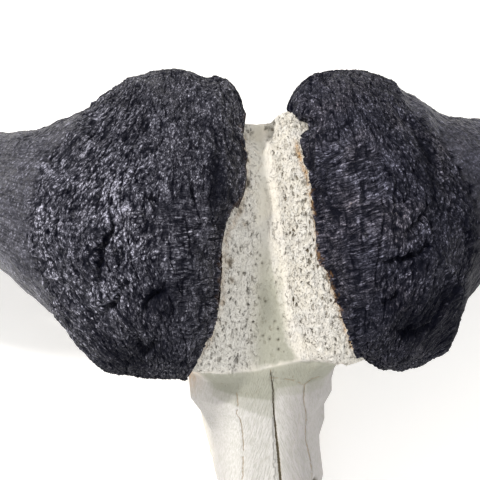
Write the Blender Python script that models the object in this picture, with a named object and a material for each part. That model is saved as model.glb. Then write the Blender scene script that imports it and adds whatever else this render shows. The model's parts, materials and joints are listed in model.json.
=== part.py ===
"""Skull of a Cape buffalo bull: one bony skull with horn cores, two horn sheaths that slip over the
cores, and twelve upper cheek teeth in their sockets.

Run with blender --background --python part.py, or from the text editor. The skull stands on its cheek
teeth and its two jugular processes, nose towards -Y, +Z up, with the origin under the middle of its box.

Lengths below are in millimetres. Stations along the skull are measured backwards from the nose tip, and
heights upwards from the plane that the teeth stand on.
"""

import math

import bmesh
import bpy
import numpy as np

MM = 0.001

# Driving dimensions of the skull
SKULL_LENGTH = 520.0
HALF_LENGTH = SKULL_LENGTH / 2
CROWN_STATION, CROWN_HEIGHT = 361.0, 262.0
CROWN_LEAN = math.radians(20.0)
SLIP_GAP = 0.4
SOCKET_GAP = 0.35

# Fineness of the solids
VOXEL = 3.2
SMOOTHING_ROUNDS, SMOOTHING_FACTOR = 5, 0.5
BONE_FACES_KEPT = 0.0172
HORN_RINGS, HORN_SIDES = 31, 22
CORE_RINGS, CORE_SIDES = 20, 20
HEAD_RINGS, HEAD_SIDES = 40, 44
TUBE_RINGS, TUBE_SIDES = 14, 12
UPRIGHT_RINGS, MIDDLE_RINGS, PAD_RINGS = 12, 10, 16
MIDDLE_SIDES, CUTTER_RINGS, CUTTER_SIDES, ORBIT_CUT_SIDES = 14, 12, 16, 18
ORBIT_STEPS, ORBIT_RIM_SIDES = 30, 10
CREASE_ANGLE = math.radians(40.0)

BONE_COLOUR = (0.74, 0.70, 0.62, 1.0)
HORN_COLOUR = (0.018, 0.018, 0.022, 1.0)
TOOTH_COLOUR = (0.70, 0.62, 0.47, 1.0)

SIDES = {"left": -1.0, "right": 1.0}
UP, BACKWARDS = (0.0, 0.0, 1.0), (0.0, 1.0, 0.0)


# Places in the skull


def at(x, station, z):
    """A point of the skull: x to the side, station behind the nose tip, z above the tooth plane."""
    return np.array([x, station - HALF_LENGTH, z], float)


def on_crown(x, back, out):
    """A point of the crown: back along it, and out from it, in the plane that leans with the brow."""
    cos, sin = math.cos(CROWN_LEAN), math.sin(CROWN_LEAN)
    return at(x, CROWN_STATION + back * cos - out * sin, CROWN_HEIGHT + back * sin + out * cos)


# Curves


def spline_point(a, b, c, d, f):
    """The Catmull-Rom point a share f of the way from b to c."""
    return 0.5 * (2 * b + (c - a) * f + (2 * a - 5 * b + 4 * c - d) * f**2 + (3 * b - a - 3 * c + d) * f**3)


def smooth_rows(rows, count, closed=False):
    """Rows of numbers on a smooth curve through the given ones, count of them, evenly spread."""
    rows = np.asarray(rows, float)
    total = len(rows)
    spans = total if closed else total - 1
    made = []
    for t in np.linspace(0, spans, count, endpoint=not closed):
        i = min(int(t), spans - 1)
        if closed:
            a, b, c, d = (rows[(i + k) % total] for k in (-1, 0, 1, 2))
        else:
            b, c = rows[i], rows[i + 1]
            a = rows[i - 1] if i > 0 else 2 * b - c
            d = rows[i + 2] if i + 2 < total else 2 * c - b
        made.append(spline_point(a, b, c, d, t - i))
    return np.array(made)


def unit(vector):
    """The vector at length one."""
    return vector / np.linalg.norm(vector)


def turns(count):
    """Angles evenly spread round a full turn."""
    return np.linspace(0, 2 * math.pi, count, endpoint=False)


# Meshes


def add_band(mesh, near, far):
    """Joins two rings of vertices with faces."""
    sides = len(near)
    for i in range(sides):
        j = (i + 1) % sides
        mesh.faces.new((near[i], near[j], far[j], far[i]))


def add_rings(mesh, rings):
    """Adds the vertices of rings of points, and returns them ring by ring."""
    return [[mesh.verts.new(tuple(p * MM)) for p in ring] for ring in rings]


def add_cap(mesh, ring):
    """Closes a ring with a strip of faces across it, from its first vertex to the one opposite."""
    for i in range(len(ring) // 2):
        across = (ring[i], ring[i + 1], ring[-i - 1], ring[-i])
        mesh.faces.new(tuple(dict.fromkeys(across)))


def add_loft(mesh, rings):
    """Adds closed rings of points, joined in order and capped at both ends."""
    made = add_rings(mesh, rings)
    for near, far in zip(made, made[1:]):
        add_band(mesh, near, far)
    add_cap(mesh, made[0])
    add_cap(mesh, made[-1])


def add_tube(mesh, stops, count=TUBE_RINGS, sides=TUBE_SIDES, flat_side=UP):
    """Adds a swept oval with rounded ends, through stops of (point, half width, half height).

    The half height lies along flat_side.
    """
    rows = smooth_rows([[*point, width, height] for point, width, height in stops], count)
    path = rows[:, :3]
    rings = []
    for i, row in enumerate(rows):
        along = unit(path[min(i + 1, count - 1)] - path[max(i - 1, 0)])
        wide = unit(np.cross(np.array(flat_side), along))
        high = np.cross(along, wide)
        across, upwards = wide * row[3], high * row[4]
        rings.append([row[:3] + across * math.cos(a) + upwards * math.sin(a) for a in turns(sides)])
    rings.insert(0, [(path[0] + p) / 2 - (path[1] - path[0]) / 4 for p in rings[0]])
    rings.append([(path[-1] + p) / 2 + (path[-1] - path[-2]) / 4 for p in rings[-1]])
    add_loft(mesh, rings)


def add_ball(mesh, centre, radii, lean=0.0):
    """Adds an ellipsoid, leaning about the X axis by the given angle."""
    made = bmesh.ops.create_icosphere(mesh, subdivisions=3, radius=1.0)
    cos, sin = math.cos(lean), math.sin(lean)
    for vert in made["verts"]:
        x, y, z = (c * r for c, r in zip(vert.co, radii))
        vert.co = (centre + (x, y * cos - z * sin, y * sin + z * cos)) * MM


def add_box(mesh, low, high):
    """Adds a box between two corners."""
    made = bmesh.ops.create_cube(mesh, size=1.0)
    for vert in made["verts"]:
        vert.co = (low + (np.array(vert.co) + 0.5) * (high - low)) * MM


def new_mesh(name, build):
    """A mesh filled by build(bmesh), its faces turned outwards."""
    work = bmesh.new()
    build(work)
    bmesh.ops.recalc_face_normals(work, faces=work.faces)
    mesh = bpy.data.meshes.new(name)
    work.to_mesh(mesh)
    work.free()
    return mesh


def new_object(name, mesh, material=None):
    """An object in the scene, with its material."""
    made = bpy.data.objects.new(name, mesh)
    bpy.context.scene.collection.objects.link(made)
    if material:
        mesh.materials.append(material)
    return made


def new_helper(name, mesh):
    """A cutter or guide, which isn't part of the model."""
    made = new_object(name, mesh)
    made.hide_render = True
    made.display_type = "WIRE"
    return made


def new_material(name, colour, roughness):
    """A plain finish."""
    made = bpy.data.materials.new(name)
    made.use_nodes = True
    shader = made.node_tree.nodes["Principled BSDF"]
    shader.inputs["Base Color"].default_value = colour
    shader.inputs["Roughness"].default_value = roughness
    shader.inputs["Metallic"].default_value = 0.0
    return made


# Modifiers


def add_remesh(target):
    """Fuses overlapping forms into one skin."""
    modifier = target.modifiers.new("fuse", "REMESH")
    modifier.mode = "VOXEL"
    modifier.voxel_size = VOXEL * MM
    modifier.adaptivity = 0.0


def add_smooth(target):
    """Rounds the creases where forms meet."""
    modifier = target.modifiers.new("soften", "SMOOTH")
    modifier.factor = SMOOTHING_FACTOR
    modifier.iterations = SMOOTHING_ROUNDS


def add_cut(target, cutter):
    """Takes a cutter's shape away. The cutter may be several forms that cross each other."""
    modifier = target.modifiers.new("cut", "BOOLEAN")
    modifier.operation = "DIFFERENCE"
    modifier.solver = "EXACT"
    modifier.use_self = True
    modifier.object = cutter


def connected_bodies(work):
    """The vertices of a bmesh, sorted into connected bodies."""
    left, bodies = set(work.verts), []
    while left:
        front = [left.pop()]
        body = set(front)
        while front:
            near = {edge.other_vert(vert) for vert in front for edge in vert.link_edges} & left
            left -= near
            body |= near
            front = list(near)
        bodies.append(body)
    return sorted(bodies, key=len)


def apply_modifiers(target):
    """Gives an object the mesh that its modifiers make, without stray crumbs, shaded smooth."""
    graph = bpy.context.evaluated_depsgraph_get()
    mesh = bpy.data.meshes.new_from_object(target.evaluated_get(graph), depsgraph=graph)
    work = bmesh.new()
    work.from_mesh(mesh)
    bmesh.ops.triangulate(work, faces=work.faces)
    for crumb in connected_bodies(work)[:-1]:
        bmesh.ops.delete(work, geom=list(crumb), context="VERTS")
    work.to_mesh(mesh)
    work.free()
    target.modifiers.clear()
    target.data = mesh
    mesh.name = target.name


# The horn: ribs across it from the middle edge of the boss to the tip, in crown directions. Each row is
# the rib's centre, its half length along the brow, its thickness above and below the centre, how far its
# ends bend down, how much further the back end drops than the front end, and its slant.

HORN_RIBS = (
    (48.0, 9.0, 0.0, 130.0, 9.0, 11.0, 34.0, 20.0, -0.208),
    (58.0, 15.0, -3.0, 145.0, 30.0, 24.0, 36.0, 21.0, -0.165),
    (74.0, 20.0, -8.0, 155.0, 46.0, 36.0, 38.0, 22.0, -0.090),
    (96.0, 22.5, -14.0, 160.0, 60.0, 46.0, 38.0, 23.0, 0.0),
    (122.0, 19.0, -22.0, 160.0, 69.0, 56.0, 34.0, 20.0, 0.0),
    (147.0, 16.0, -30.0, 152.0, 72.0, 62.0, 29.0, 16.0, 0.0),
    (172.0, 14.5, -39.0, 138.0, 70.0, 65.0, 22.0, 12.0, 0.0),
    (197.0, 18.5, -50.0, 119.5, 66.0, 64.0, 15.0, 8.0, 0.0),
    (222.0, 28.0, -63.0, 100.0, 62.0, 61.0, 9.0, 5.0, 0.0),
    (248.0, 41.0, -78.0, 84.0, 58.0, 57.0, 4.0, 2.0, 0.0),
    (275.0, 54.0, -97.0, 70.0, 54.0, 53.0, 1.0, 0.0, 0.0),
    (306.0, 58.0, -122.0, 63.0, 50.5, 49.5, 0.0, 0.0, 0.0),
    (340.0, 60.0, -145.0, 56.0, 47.0, 46.0, 0.0, 0.0, 0.0),
    (376.0, 59.0, -161.0, 50.5, 43.0, 43.0, 0.0, 0.0, 0.0),
    (411.0, 56.0, -165.0, 45.5, 39.5, 39.5, 0.0, 0.0, 0.0),
    (442.0, 53.0, -154.0, 41.0, 36.0, 36.0, 0.0, 0.0, 0.0),
    (465.0, 51.0, -130.0, 37.0, 33.0, 33.0, 0.0, 0.0, 0.0),
    (477.0, 52.0, -97.0, 33.0, 30.0, 30.0, 0.0, 0.0, 0.0),
    (479.0, 58.0, -60.0, 29.0, 27.0, 27.0, 0.0, 0.0, 0.0),
    (472.0, 67.0, -24.0, 25.0, 23.5, 23.5, 0.0, 0.0, 0.0),
    (457.0, 79.0, 9.0, 20.5, 19.5, 19.5, 0.0, 0.0, 0.0),
    (436.0, 91.0, 36.0, 15.0, 14.5, 14.5, 0.0, 0.0, 0.0),
    (416.0, 101.0, 54.0, 9.0, 9.0, 9.0, 0.0, 0.0, 0.0),
    (403.0, 107.0, 63.0, 3.5, 3.5, 3.5, 0.0, 0.0, 0.0),
)
SIDE, BACK, HALF, ABOVE, BELOW, BEND, DROP, SLANT = 0, 1, 3, 4, 5, 6, 7, 8
RIB_COUNT = len(HORN_RIBS)

# Out to the first distance the ribs stand along the brow, past the second they stand across the horn
ALONG_BROW_END, ACROSS_HORN_START = 200.0, 330.0
RIB_SQUARENESS = 2.25
UNDERSIDE_FULLNESS, FULL_BEND = 0.3, 30.0

# The bosses aren't quite alike: where their middle edges lie and slant, and how far forward their front
# corners reach
EDGE_SHIFT = {"left": -4.0, "right": 5.0}
EDGE_SLANT = {"left": -0.035, "right": 0.012}
EDGE_REACH = 110.0
CORNER_GROWTH = {"left": -7.0, "right": 9.0}
CORNER_PLACE, CORNER_REACH = 208.0, 38.0

# Knobs and hollows on the boss, and rings where the horn leaves it
KNOB_HEIGHT, RING_HEIGHT = 2.6, 1.3
KNOB_PHASE = {"left": 1.7, "right": 0.0}
BROAD_WAVE_SIDE, BROAD_WAVE_BACK, BROAD_START = 0.071, 0.058, 0.6
SLANT_WAVE_SIDE, SLANT_WAVE_BACK, SLANT_PHASE, SLANT_SHARE = 0.113, 0.097, 2.1, 0.6
RING_WAVE, RING_WANDER, WANDER_WAVE = 0.26, 0.4, 0.05
KNOBS_FULL, KNOBS_END = 200.0, 290.0
RINGS_START, RINGS_MIDDLE, RINGS_END = 190.0, 260.0, 330.0
SOLID_THICKNESS = 40.0

# The bony core inside the sheath
SHEATH_ABOVE, SHEATH_AT_ENDS, SHEATH_BELOW = 27.0, 13.0, 9.0
CORE_RIBS = slice(1, 10)
WHOLE_HORN = slice(0, RIB_COUNT)

# The smaller rib that rounds the boss's middle edge
MIDDLE_EDGE_SHARE, MIDDLE_EDGE_REACH = 0.6, 3.5


def horn_rows(side, count, ribs=WHOLE_HORN):
    """Ribs of one horn, evenly spread, with what sets this boss apart from the other."""
    rows = np.array(HORN_RIBS[ribs])
    near_edge = np.clip((EDGE_REACH - rows[:, SIDE]) / (EDGE_REACH - HORN_RIBS[0][SIDE]), 0.0, 1.0)
    corner = CORNER_GROWTH[side] * np.exp(-(((rows[:, SIDE] - CORNER_PLACE) / CORNER_REACH) ** 2))
    rows[:, SIDE] += EDGE_SHIFT[side] * near_edge
    rows[:, SLANT] += EDGE_SLANT[side] * near_edge
    rows[:, BACK] -= corner / 2
    rows[:, HALF] += corner / 2
    return smooth_rows(rows, count)


def horn_frames(rows):
    """For each rib: its centre, its long direction and its outward direction, in crown directions."""
    path = rows[:, :3]
    frames = []
    for i, row in enumerate(rows):
        turn = np.clip((row[SIDE] - ALONG_BROW_END) / (ACROSS_HORN_START - ALONG_BROW_END), 0.0, 1.0)
        path_way = unit(path[min(i + 1, len(path) - 1)] - path[max(i - 1, 0)])
        along = unit(np.array([1.0, 0.0, 0.0]) * (1 - turn) + path_way * turn)
        length = np.array([row[SLANT], 1.0, 0.0])
        length = unit(length - along * np.dot(length, along) * turn)
        across = along if turn > 0 else np.array([length[1], -length[0], 0.0])
        frames.append((path[i], length, unit(np.cross(across, length))))
    return frames


def knobs(point, side):
    """How far the horn's surface stands proud of its smooth form, in broad lumps and hollows."""
    x, y, _ = point
    phase = KNOB_PHASE[side]
    on_boss = np.clip((KNOBS_END - x) / (KNOBS_END - KNOBS_FULL), 0.0, 1.0)
    broad = math.sin(x * BROAD_WAVE_SIDE + phase) * math.sin(y * BROAD_WAVE_BACK + BROAD_START + phase)
    slanting = SLANT_SHARE * math.sin(x * SLANT_WAVE_SIDE - y * SLANT_WAVE_BACK + SLANT_PHASE * phase)
    rise = np.clip((x - RINGS_START) / (RINGS_MIDDLE - RINGS_START), 0.0, 1.0)
    fall = np.clip((RINGS_END - x) / (RINGS_END - RINGS_MIDDLE), 0.0, 1.0)
    rings = math.sin(x * RING_WAVE + RING_WANDER * math.sin(y * WANDER_WAVE)) * rise * fall
    return KNOB_HEIGHT * on_boss * (broad + slanting) + RING_HEIGHT * rings


def squared(value):
    """A cosine or sine pushed outwards, so that the oval it draws is fuller at its corners."""
    return math.copysign(abs(value) ** (2 / RIB_SQUARENESS), value)


def horn_point(row, frame, turn, side, bumpy):
    """One point of the horn's surface, in crown directions, at an angle round a rib."""
    centre, length, out = frame
    a, b = squared(math.cos(turn)), squared(math.sin(turn))
    thick = row[ABOVE]
    if b <= 0:
        thick = row[BELOW] * (1.0 + UNDERSIDE_FULLNESS * a * min(1.0, row[BEND] / FULL_BEND))
    point = centre + length * row[HALF] * a + out * (thick * b - row[BEND] * a * a - row[DROP] * a)
    if bumpy:
        away = unit(length * a * row[ABOVE] + out * b * row[HALF])
        point = point + away * knobs(point, side) * min(1.0, row[ABOVE] / SOLID_THICKNESS)
    return point


def horn_rings(side, rows, sides, bumpy=True):
    """The rings of points round one horn, or round its core."""
    rings = []
    for row, frame in zip(rows, horn_frames(rows)):
        points = [horn_point(row, frame, turn, side, bumpy) for turn in turns(sides)]
        rings.append([on_crown(SIDES[side] * x, back, out) for x, back, out in points])
    return rings


def with_middle_edge(rows):
    """The ribs, with a smaller one before the first, which rounds the boss's middle edge."""
    edge = rows[0].copy()
    edge[SIDE] -= MIDDLE_EDGE_REACH
    edge[HALF] -= MIDDLE_EDGE_REACH
    edge[[ABOVE, BELOW]] *= MIDDLE_EDGE_SHARE
    return np.vstack([edge, rows])


def build_horn(side):
    """The whole outer form of one horn."""

    def build(mesh):
        rows = with_middle_edge(horn_rows(side, HORN_RINGS))
        add_loft(mesh, horn_rings(side, rows, HORN_SIDES))

    return build


def build_core(mesh, side):
    """The bony core inside one horn, which grows from the brow."""
    rows = horn_rows(side, CORE_RINGS, CORE_RIBS)
    rows[:, ABOVE] -= SHEATH_ABOVE
    rows[:, BELOW] -= SHEATH_BELOW
    rows[:, HALF] -= SHEATH_AT_ENDS
    add_loft(mesh, horn_rings(side, rows, CORE_SIDES, bumpy=False))


# The skull's bone. Each station of the face and braincase has ten half-profile points (side, height), from
# the middle of the roof round the side to the middle of the floor.

HEAD_STATIONS = (112, 150, 190, 216, 238, 262, 298, 340, 390, 440, 474, 496, 504)
HEAD_PROFILES = (
    ((0, 124), (16, 122), (26, 112), (35, 98), (43, 80), (45, 62), (40, 42), (27, 38), (14, 42), (0, 46)),
    ((0, 140), (22, 137), (33, 126), (45, 106), (53, 82), (55, 58), (51, 29), (34, 26), (18, 38), (0, 44)),
    ((0, 161), (28, 158), (41, 146), (51, 120), (57, 90), (59, 62), (59, 28), (38, 24), (22, 42), (0, 50)),
    ((0, 177), (33, 174), (49, 161), (60, 132), (65, 99), (66, 68), (63, 28), (41, 24), (24, 44), (0, 53)),
    ((0, 189), (38, 187), (56, 175), (68, 146), (73, 112), (70, 76), (66, 28), (43, 24), (25, 46), (0, 55)),
    ((0, 203), (44, 203), (70, 194), (82, 168), (82, 124), (74, 84), (66, 30), (43, 25), (26, 48), (0, 58)),
    ((0, 220), (46, 226), (84, 218), (97, 192), (88, 150), (70, 105), (60, 36), (42, 31), (27, 54), (0, 64)),
    ((0, 237), (42, 245), (88, 240), (102, 208), (76, 160), (60, 120), (46, 82), (36, 66), (22, 66), (0, 70)),
    ((0, 251), (38, 262), (90, 254), (106, 214), (74, 165), (63, 125), (50, 90), (36, 74), (20, 68), (0, 69)),
    ((0, 257), (34, 266), (86, 250), (104, 205), (86, 162), (78, 124), (62, 90), (42, 72), (22, 65), (0, 65)),
    ((0, 249), (32, 255), (76, 232), (100, 190), (104, 145), (98, 108), (72, 84), (46, 70), (24, 64), (0, 63)),
    ((0, 224), (30, 226), (62, 204), (88, 168), (95, 136), (84, 106), (60, 86), (36, 74), (20, 68), (0, 68)),
    ((0, 190), (24, 188), (48, 174), (68, 152), (74, 132), (64, 114), (46, 100), (28, 92), (14, 88), (0, 88)),
)

# Tubes of bone on both sides, as (station, side, half width, half height, height)

PREMAXILLA_STOPS = (
    (0, 13, 10, 5, 34),
    (12, 19, 15, 6, 34),
    (34, 26, 15, 7, 39),
    (66, 33, 9, 12, 55),
    (98, 38, 7, 16, 75),
    (130, 38, 7, 17, 96),
    (154, 37, 7, 15, 110),
)
NASAL_STOPS = (
    (62, 4, 4, 4, 104),
    (72, 8, 7, 6, 107),
    (96, 14, 12, 8, 111),
    (125, 17, 16, 9, 119),
    (165, 19, 17, 9, 134),
)
PALATE_BAR_STOPS = ((12, 6, 6, 5, 33), (50, 7, 7, 6, 37), (90, 8, 8, 6, 41), (130, 10, 9, 7, 44))
CHEEK_STOPS = ((196, 56, 6, 10, 66), (224, 64, 10, 14, 82), (252, 74, 9, 16, 92), (276, 87, 9, 15, 98))
ARCH_STOPS = (
    (268, 82, 8, 15, 96),
    (304, 106, 7, 13, 101),
    (338, 114, 6, 11, 106),
    (372, 113, 7, 11, 110),
    (402, 101, 11, 11, 112),
    (424, 84, 13, 13, 114),
)
PTERYGOID_STOPS = ((292, 30, 5, 17, 48), (318, 27, 5, 17, 54), (344, 25, 5, 15, 61), (364, 25, 5, 12, 70))
JUGULAR_STOPS = (
    (456, 68, 17, 19, 98),
    (462, 68, 13, 18, 70),
    (468, 65, 10, 14, 42),
    (473, 61, 8, 11, 16),
    (475, 59, 7, 10, -10),
)
NUCHAL_STOPS = (
    (482, 106, 8, 9, 118),
    (490, 100, 8, 10, 156),
    (496, 78, 8, 10, 194),
    (502, 44, 9, 10, 219),
    (505, 0, 9, 11, 228),
)
LENGTHWISE_STOPS = (
    PREMAXILLA_STOPS,
    NASAL_STOPS,
    PALATE_BAR_STOPS,
    CHEEK_STOPS,
    ARCH_STOPS,
    PTERYGOID_STOPS,
)
UPRIGHT_STOPS = (JUGULAR_STOPS, NUCHAL_STOPS)

# Tubes of bone along the middle, in the same way

VOMER_STOPS = ((96, 0, 4, 9, 48), (150, 0, 4, 14, 58), (230, 0, 4, 20, 72), (320, 0, 4, 18, 84))
SKULL_BASE_STOPS = ((340, 0, 15, 10, 82), (400, 0, 19, 11, 76), (450, 0, 25, 12, 72), (484, 0, 30, 13, 78))
NAPE_RIDGE_STOPS = ((502, 0, 10, 7, 222), (507, 0, 12, 8, 192), (505, 0, 9, 6, 160), (500, 0, 5, 5, 136))

# The rough pads beside the bosses, as (back, side, half width, half height, out) on the crown

PAD_STOPS = (
    (-126, 78, 32, 10, -32),
    (-98, 72, 36, 14, -20),
    (-40, 60, 34, 14, -15),
    (30, 52, 30, 13, -17),
    (84, 44, 27, 12, -31),
    (126, 40, 24, 10, -55),
)

# Round forms on both sides, as a centre (side, station, height), radii and a lean

ROUND_FORMS = {
    "occipital condyle": ((31.0, 502.0, 82.0), (20.0, 18.0, 29.0), math.radians(-25)),
    "bulla": ((46.0, 430.0, 66.0), (14.0, 20.0, 20.0), 0.0),
    "jaw joint": ((82.0, 408.0, 101.0), (25.0, 13.0, 10.0), 0.0),
    "facial tuber": ((60.0, 222.0, 82.0), (13.0, 20.0, 13.0), 0.0),
    "brow over the eye": ((80.0, 296.0, 196.0), (27.0, 25.0, 17.0), math.radians(20)),
}
ROUND_HOLLOWS = {
    "temple": ((112.0, 384.0, 146.0), (44.0, 42.0, 33.0), 0.0),
    "nape muscle": ((33.0, 524.0, 172.0), (24.0, 20.0, 34.0), math.radians(14)),
}

# Hollows along the middle, as ((side, station, height), half width, half height)

NOSE_STOPS = (
    ((0, -40, 78), 23, 34),
    ((0, 60, 78), 24, 36),
    ((0, 104, 82), 29, 36),
    ((0, 140, 90), 31, 37),
    ((0, 190, 102), 34, 42),
    ((0, 236, 116), 30, 40),
    ((0, 262, 124), 20, 26),
)
THROAT_STOPS = (((0, 290, 66), 15, 10), ((0, 330, 60), 19, 18), ((0, 372, 46), 19, 15))
PALATE_STOPS = (((0, 146, 20), 24, 9), ((0, 200, 22), 31, 15), ((0, 262, 24), 33, 17), ((0, 330, 20), 29, 17))
SPINE_STOPS = (((0, 446, 122), 14, 13), ((0, 486, 112), 20, 19), ((0, 560, 106), 23, 22))

# The eye socket: a thick round rim that faces out and forwards

ORBIT_CENTRE, ORBIT_RADII = (100.0, 300.0, 146.0), (33.0, 36.0)
ORBIT_RIM, ORBIT_DEPTH = 10.0, 50.0
ORBIT_FACING = (0.90, -0.40, 0.14)
ORBIT_WALL = 8.0
ORBIT_BACK_RADIUS, ORBIT_BACK_DRIFT, ORBIT_FLARE, ORBIT_CUT_REACH = 12.0, 14.0, 14.0, 40.0
ORBIT_WALL_SHOWN, ORBIT_TAPER = 0.8, 0.9


def place(stops):
    """Turns rows of (station, side, half width, half height, height) into a tube's stops."""
    return [(at(x, station, z), width, height) for station, x, width, height, z in stops]


def mirrored(stops, sign):
    """The same rows on one side of the skull."""
    return [(station, x * sign, *rest) for station, x, *rest in stops]


def add_tubes_on_both_sides(mesh):
    """The paired bars and plates of bone."""
    for sign in SIDES.values():
        for stops in LENGTHWISE_STOPS:
            add_tube(mesh, place(mirrored(stops, sign)))
        for stops in UPRIGHT_STOPS:
            add_tube(mesh, place(mirrored(stops, sign)), UPRIGHT_RINGS, flat_side=BACKWARDS)


def add_round_forms(mesh, forms):
    """Ellipsoids on both sides."""
    for sign in SIDES.values():
        for (x, station, z), radii, lean in forms.values():
            add_ball(mesh, at(x * sign, station, z), radii, lean)


def build_head_form(mesh):
    """The face and braincase, as one loft."""
    profiles = zip(HEAD_STATIONS, HEAD_PROFILES)
    rows = [[station, *(c for point in points for c in point)] for station, points in profiles]
    rings = []
    for row in smooth_rows(rows, HEAD_RINGS):
        half = row[1:].reshape(-1, 2)
        other = half[-2:0:-1] * (-1, 1)
        outline = smooth_rows(np.vstack([half, other]), HEAD_SIDES, closed=True)
        rings.append([at(x, row[0], z) for x, z in outline])
    add_loft(mesh, rings)


def orbit_frame(sign):
    """The centre of an eye socket's rim, and the way that it faces."""
    x, station, z = ORBIT_CENTRE
    return at(x * sign, station, z), unit(np.array([ORBIT_FACING[0] * sign, *ORBIT_FACING[1:]]))


def build_orbit_rim(mesh, sign):
    """The ring of bone round one eye socket."""
    centre, facing = orbit_frame(sign)
    along = unit(np.cross(facing, np.array(UP)))
    upwards = np.cross(along, facing)
    rings = []
    for turn in turns(ORBIT_STEPS):
        spoke = along * math.cos(turn) * ORBIT_RADII[0] + upwards * math.sin(turn) * ORBIT_RADII[1]
        middle = centre + spoke
        wide, deep = unit(spoke) * ORBIT_WALL, facing * ORBIT_RIM
        rings.append([middle + wide * math.cos(a) + deep * math.sin(a) for a in turns(ORBIT_RIM_SIDES)])
    made = add_rings(mesh, rings)
    for near, far in zip(made, made[1:] + made[:1]):
        add_band(mesh, near, far)


def build_orbit_hollow(mesh, sign):
    """The cutter of one eye socket, narrow at its back and flared past its rim."""
    centre, facing = orbit_frame(sign)
    wide, high = (radius - ORBIT_WALL * ORBIT_WALL_SHOWN for radius in ORBIT_RADII)
    back = centre - facing * ORBIT_DEPTH + np.array(BACKWARDS) * ORBIT_BACK_DRIFT
    stops = (
        (back, ORBIT_BACK_RADIUS, ORBIT_BACK_RADIUS),
        (centre - facing * ORBIT_DEPTH / 2, wide * ORBIT_TAPER, high * ORBIT_TAPER),
        (centre, wide, high),
        (centre + facing * ORBIT_CUT_REACH, wide + ORBIT_FLARE, high + ORBIT_FLARE),
    )
    add_tube(mesh, stops, MIDDLE_RINGS, ORBIT_CUT_SIDES)


def build_bone_forms(mesh):
    """Every form that the skull's bone is fused from."""
    build_head_form(mesh)
    add_tubes_on_both_sides(mesh)
    add_round_forms(mesh, ROUND_FORMS)
    for stops in (VOMER_STOPS, SKULL_BASE_STOPS):
        add_tube(mesh, place(stops), MIDDLE_RINGS, MIDDLE_SIDES)
    add_tube(mesh, place(NAPE_RIDGE_STOPS), MIDDLE_RINGS, flat_side=BACKWARDS)
    for side, sign in SIDES.items():
        build_orbit_rim(mesh, sign)
        build_core(mesh, side)
        pad = [(on_crown(sign * x, back, out), width, height) for back, x, width, height, out in PAD_STOPS]
        add_tube(mesh, pad, PAD_RINGS, MIDDLE_SIDES)


def build_bone_hollows(mesh):
    """The eye sockets, temple hollows, nose, throat, vault of the palate and spinal opening, as cutters."""
    add_round_forms(mesh, ROUND_HOLLOWS)
    for sign in SIDES.values():
        build_orbit_hollow(mesh, sign)
    for stops in (NOSE_STOPS, THROAT_STOPS, PALATE_STOPS, SPINE_STOPS):
        cutter = [(at(*point), width, height) for point, width, height in stops]
        add_tube(mesh, cutter, CUTTER_RINGS, CUTTER_SIDES)


# The cheek teeth: three premolars and three molars a side, front to back. Each row is the station of the
# tooth's middle, its length along the row, its width, its side and its number of lobes.

TEETH = {
    "premolar_2": (158.0, 16.0, 15.0, 42.0, 1),
    "premolar_3": (176.0, 18.0, 17.5, 45.5, 1),
    "premolar_4": (195.0, 18.5, 19.5, 48.5, 1),
    "molar_1": (218.0, 25.0, 22.0, 50.5, 2),
    "molar_2": (246.0, 29.0, 23.5, 52.0, 2),
    "molar_3": (277.5, 31.5, 22.5, 52.0, 2),
}
TOOTH_POINTS = 14
ROOT_TOP, NECK_TOP, CROWN_TOP = 40.0, 23.5, 19.0
NECK_SHARE, ROOT_SHARE = 0.84, 0.76
CHEWING_BEVEL, BEVEL_INSET = 1.6, 0.2
LOBE_SQUARENESS, GROOVE_DEPTH, GROOVE_WIDTH = 0.72, 0.14, 0.13

# Levels of a tooth and of its socket, as (height, share of the outline, extra size)
TOOTH_LEVELS = (
    (0.0, 1.0, -CHEWING_BEVEL),
    (CHEWING_BEVEL, 1.0, -BEVEL_INSET),
    (CROWN_TOP, 1.0, 0.0),
    (NECK_TOP, NECK_SHARE, 0.0),
    (ROOT_TOP, ROOT_SHARE, 0.0),
)
SOCKET_LEVELS = (
    (0.0, 1.0, SOCKET_GAP),
    (CROWN_TOP + SOCKET_GAP, 1.0, SOCKET_GAP),
    (NECK_TOP + SOCKET_GAP, NECK_SHARE, SOCKET_GAP),
    (ROOT_TOP, ROOT_SHARE, SOCKET_GAP),
    (ROOT_TOP + SOCKET_GAP, ROOT_SHARE, SOCKET_GAP),
)

# The block that levels the tips of the jugular processes, so that the skull stands on them
LEVEL_FRONT, LEVEL_BACK, LEVEL_SIDE, LEVEL_DEPTH = 430.0, 510.0, 90.0, 30.0


def tooth_outline(length, width, lobes, share, grow):
    """The outline of a tooth seen from below: round lobes with a groove between them."""
    outline = []
    for turn in turns(TOOTH_POINTS):
        c, s = math.cos(turn), math.sin(turn)
        a = math.copysign(abs(c) ** LOBE_SQUARENESS, c) * length / 2
        b = math.copysign(abs(s) ** LOBE_SQUARENESS, s) * width / 2
        if lobes == 2:
            b *= 1.0 - GROOVE_DEPTH * math.exp(-((a / (GROOVE_WIDTH * length)) ** 2))
        outline.append((b * share + grow * np.sign(b), a * share + grow * np.sign(a)))
    return outline


def build_tooth(row, sign, levels):
    """A tooth or its socket's cutter."""
    station, length, width, x, lobes = row

    def build(mesh):
        rings = []
        for z, share, grow in levels:
            outline = tooth_outline(length, width, lobes, share, grow)
            rings.append([at(sign * (x + px), station + py, z) for px, py in outline])
        add_loft(mesh, rings)

    return build


def build_sockets(mesh):
    """The cutters of every tooth's socket, and the block that levels the tips that the skull stands on."""
    for sign in SIDES.values():
        for row in TEETH.values():
            build_tooth(row, sign, SOCKET_LEVELS)(mesh)
    add_box(mesh, at(-LEVEL_SIDE, LEVEL_FRONT, -LEVEL_DEPTH), at(LEVEL_SIDE, LEVEL_BACK, 0))


# Assembly


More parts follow.
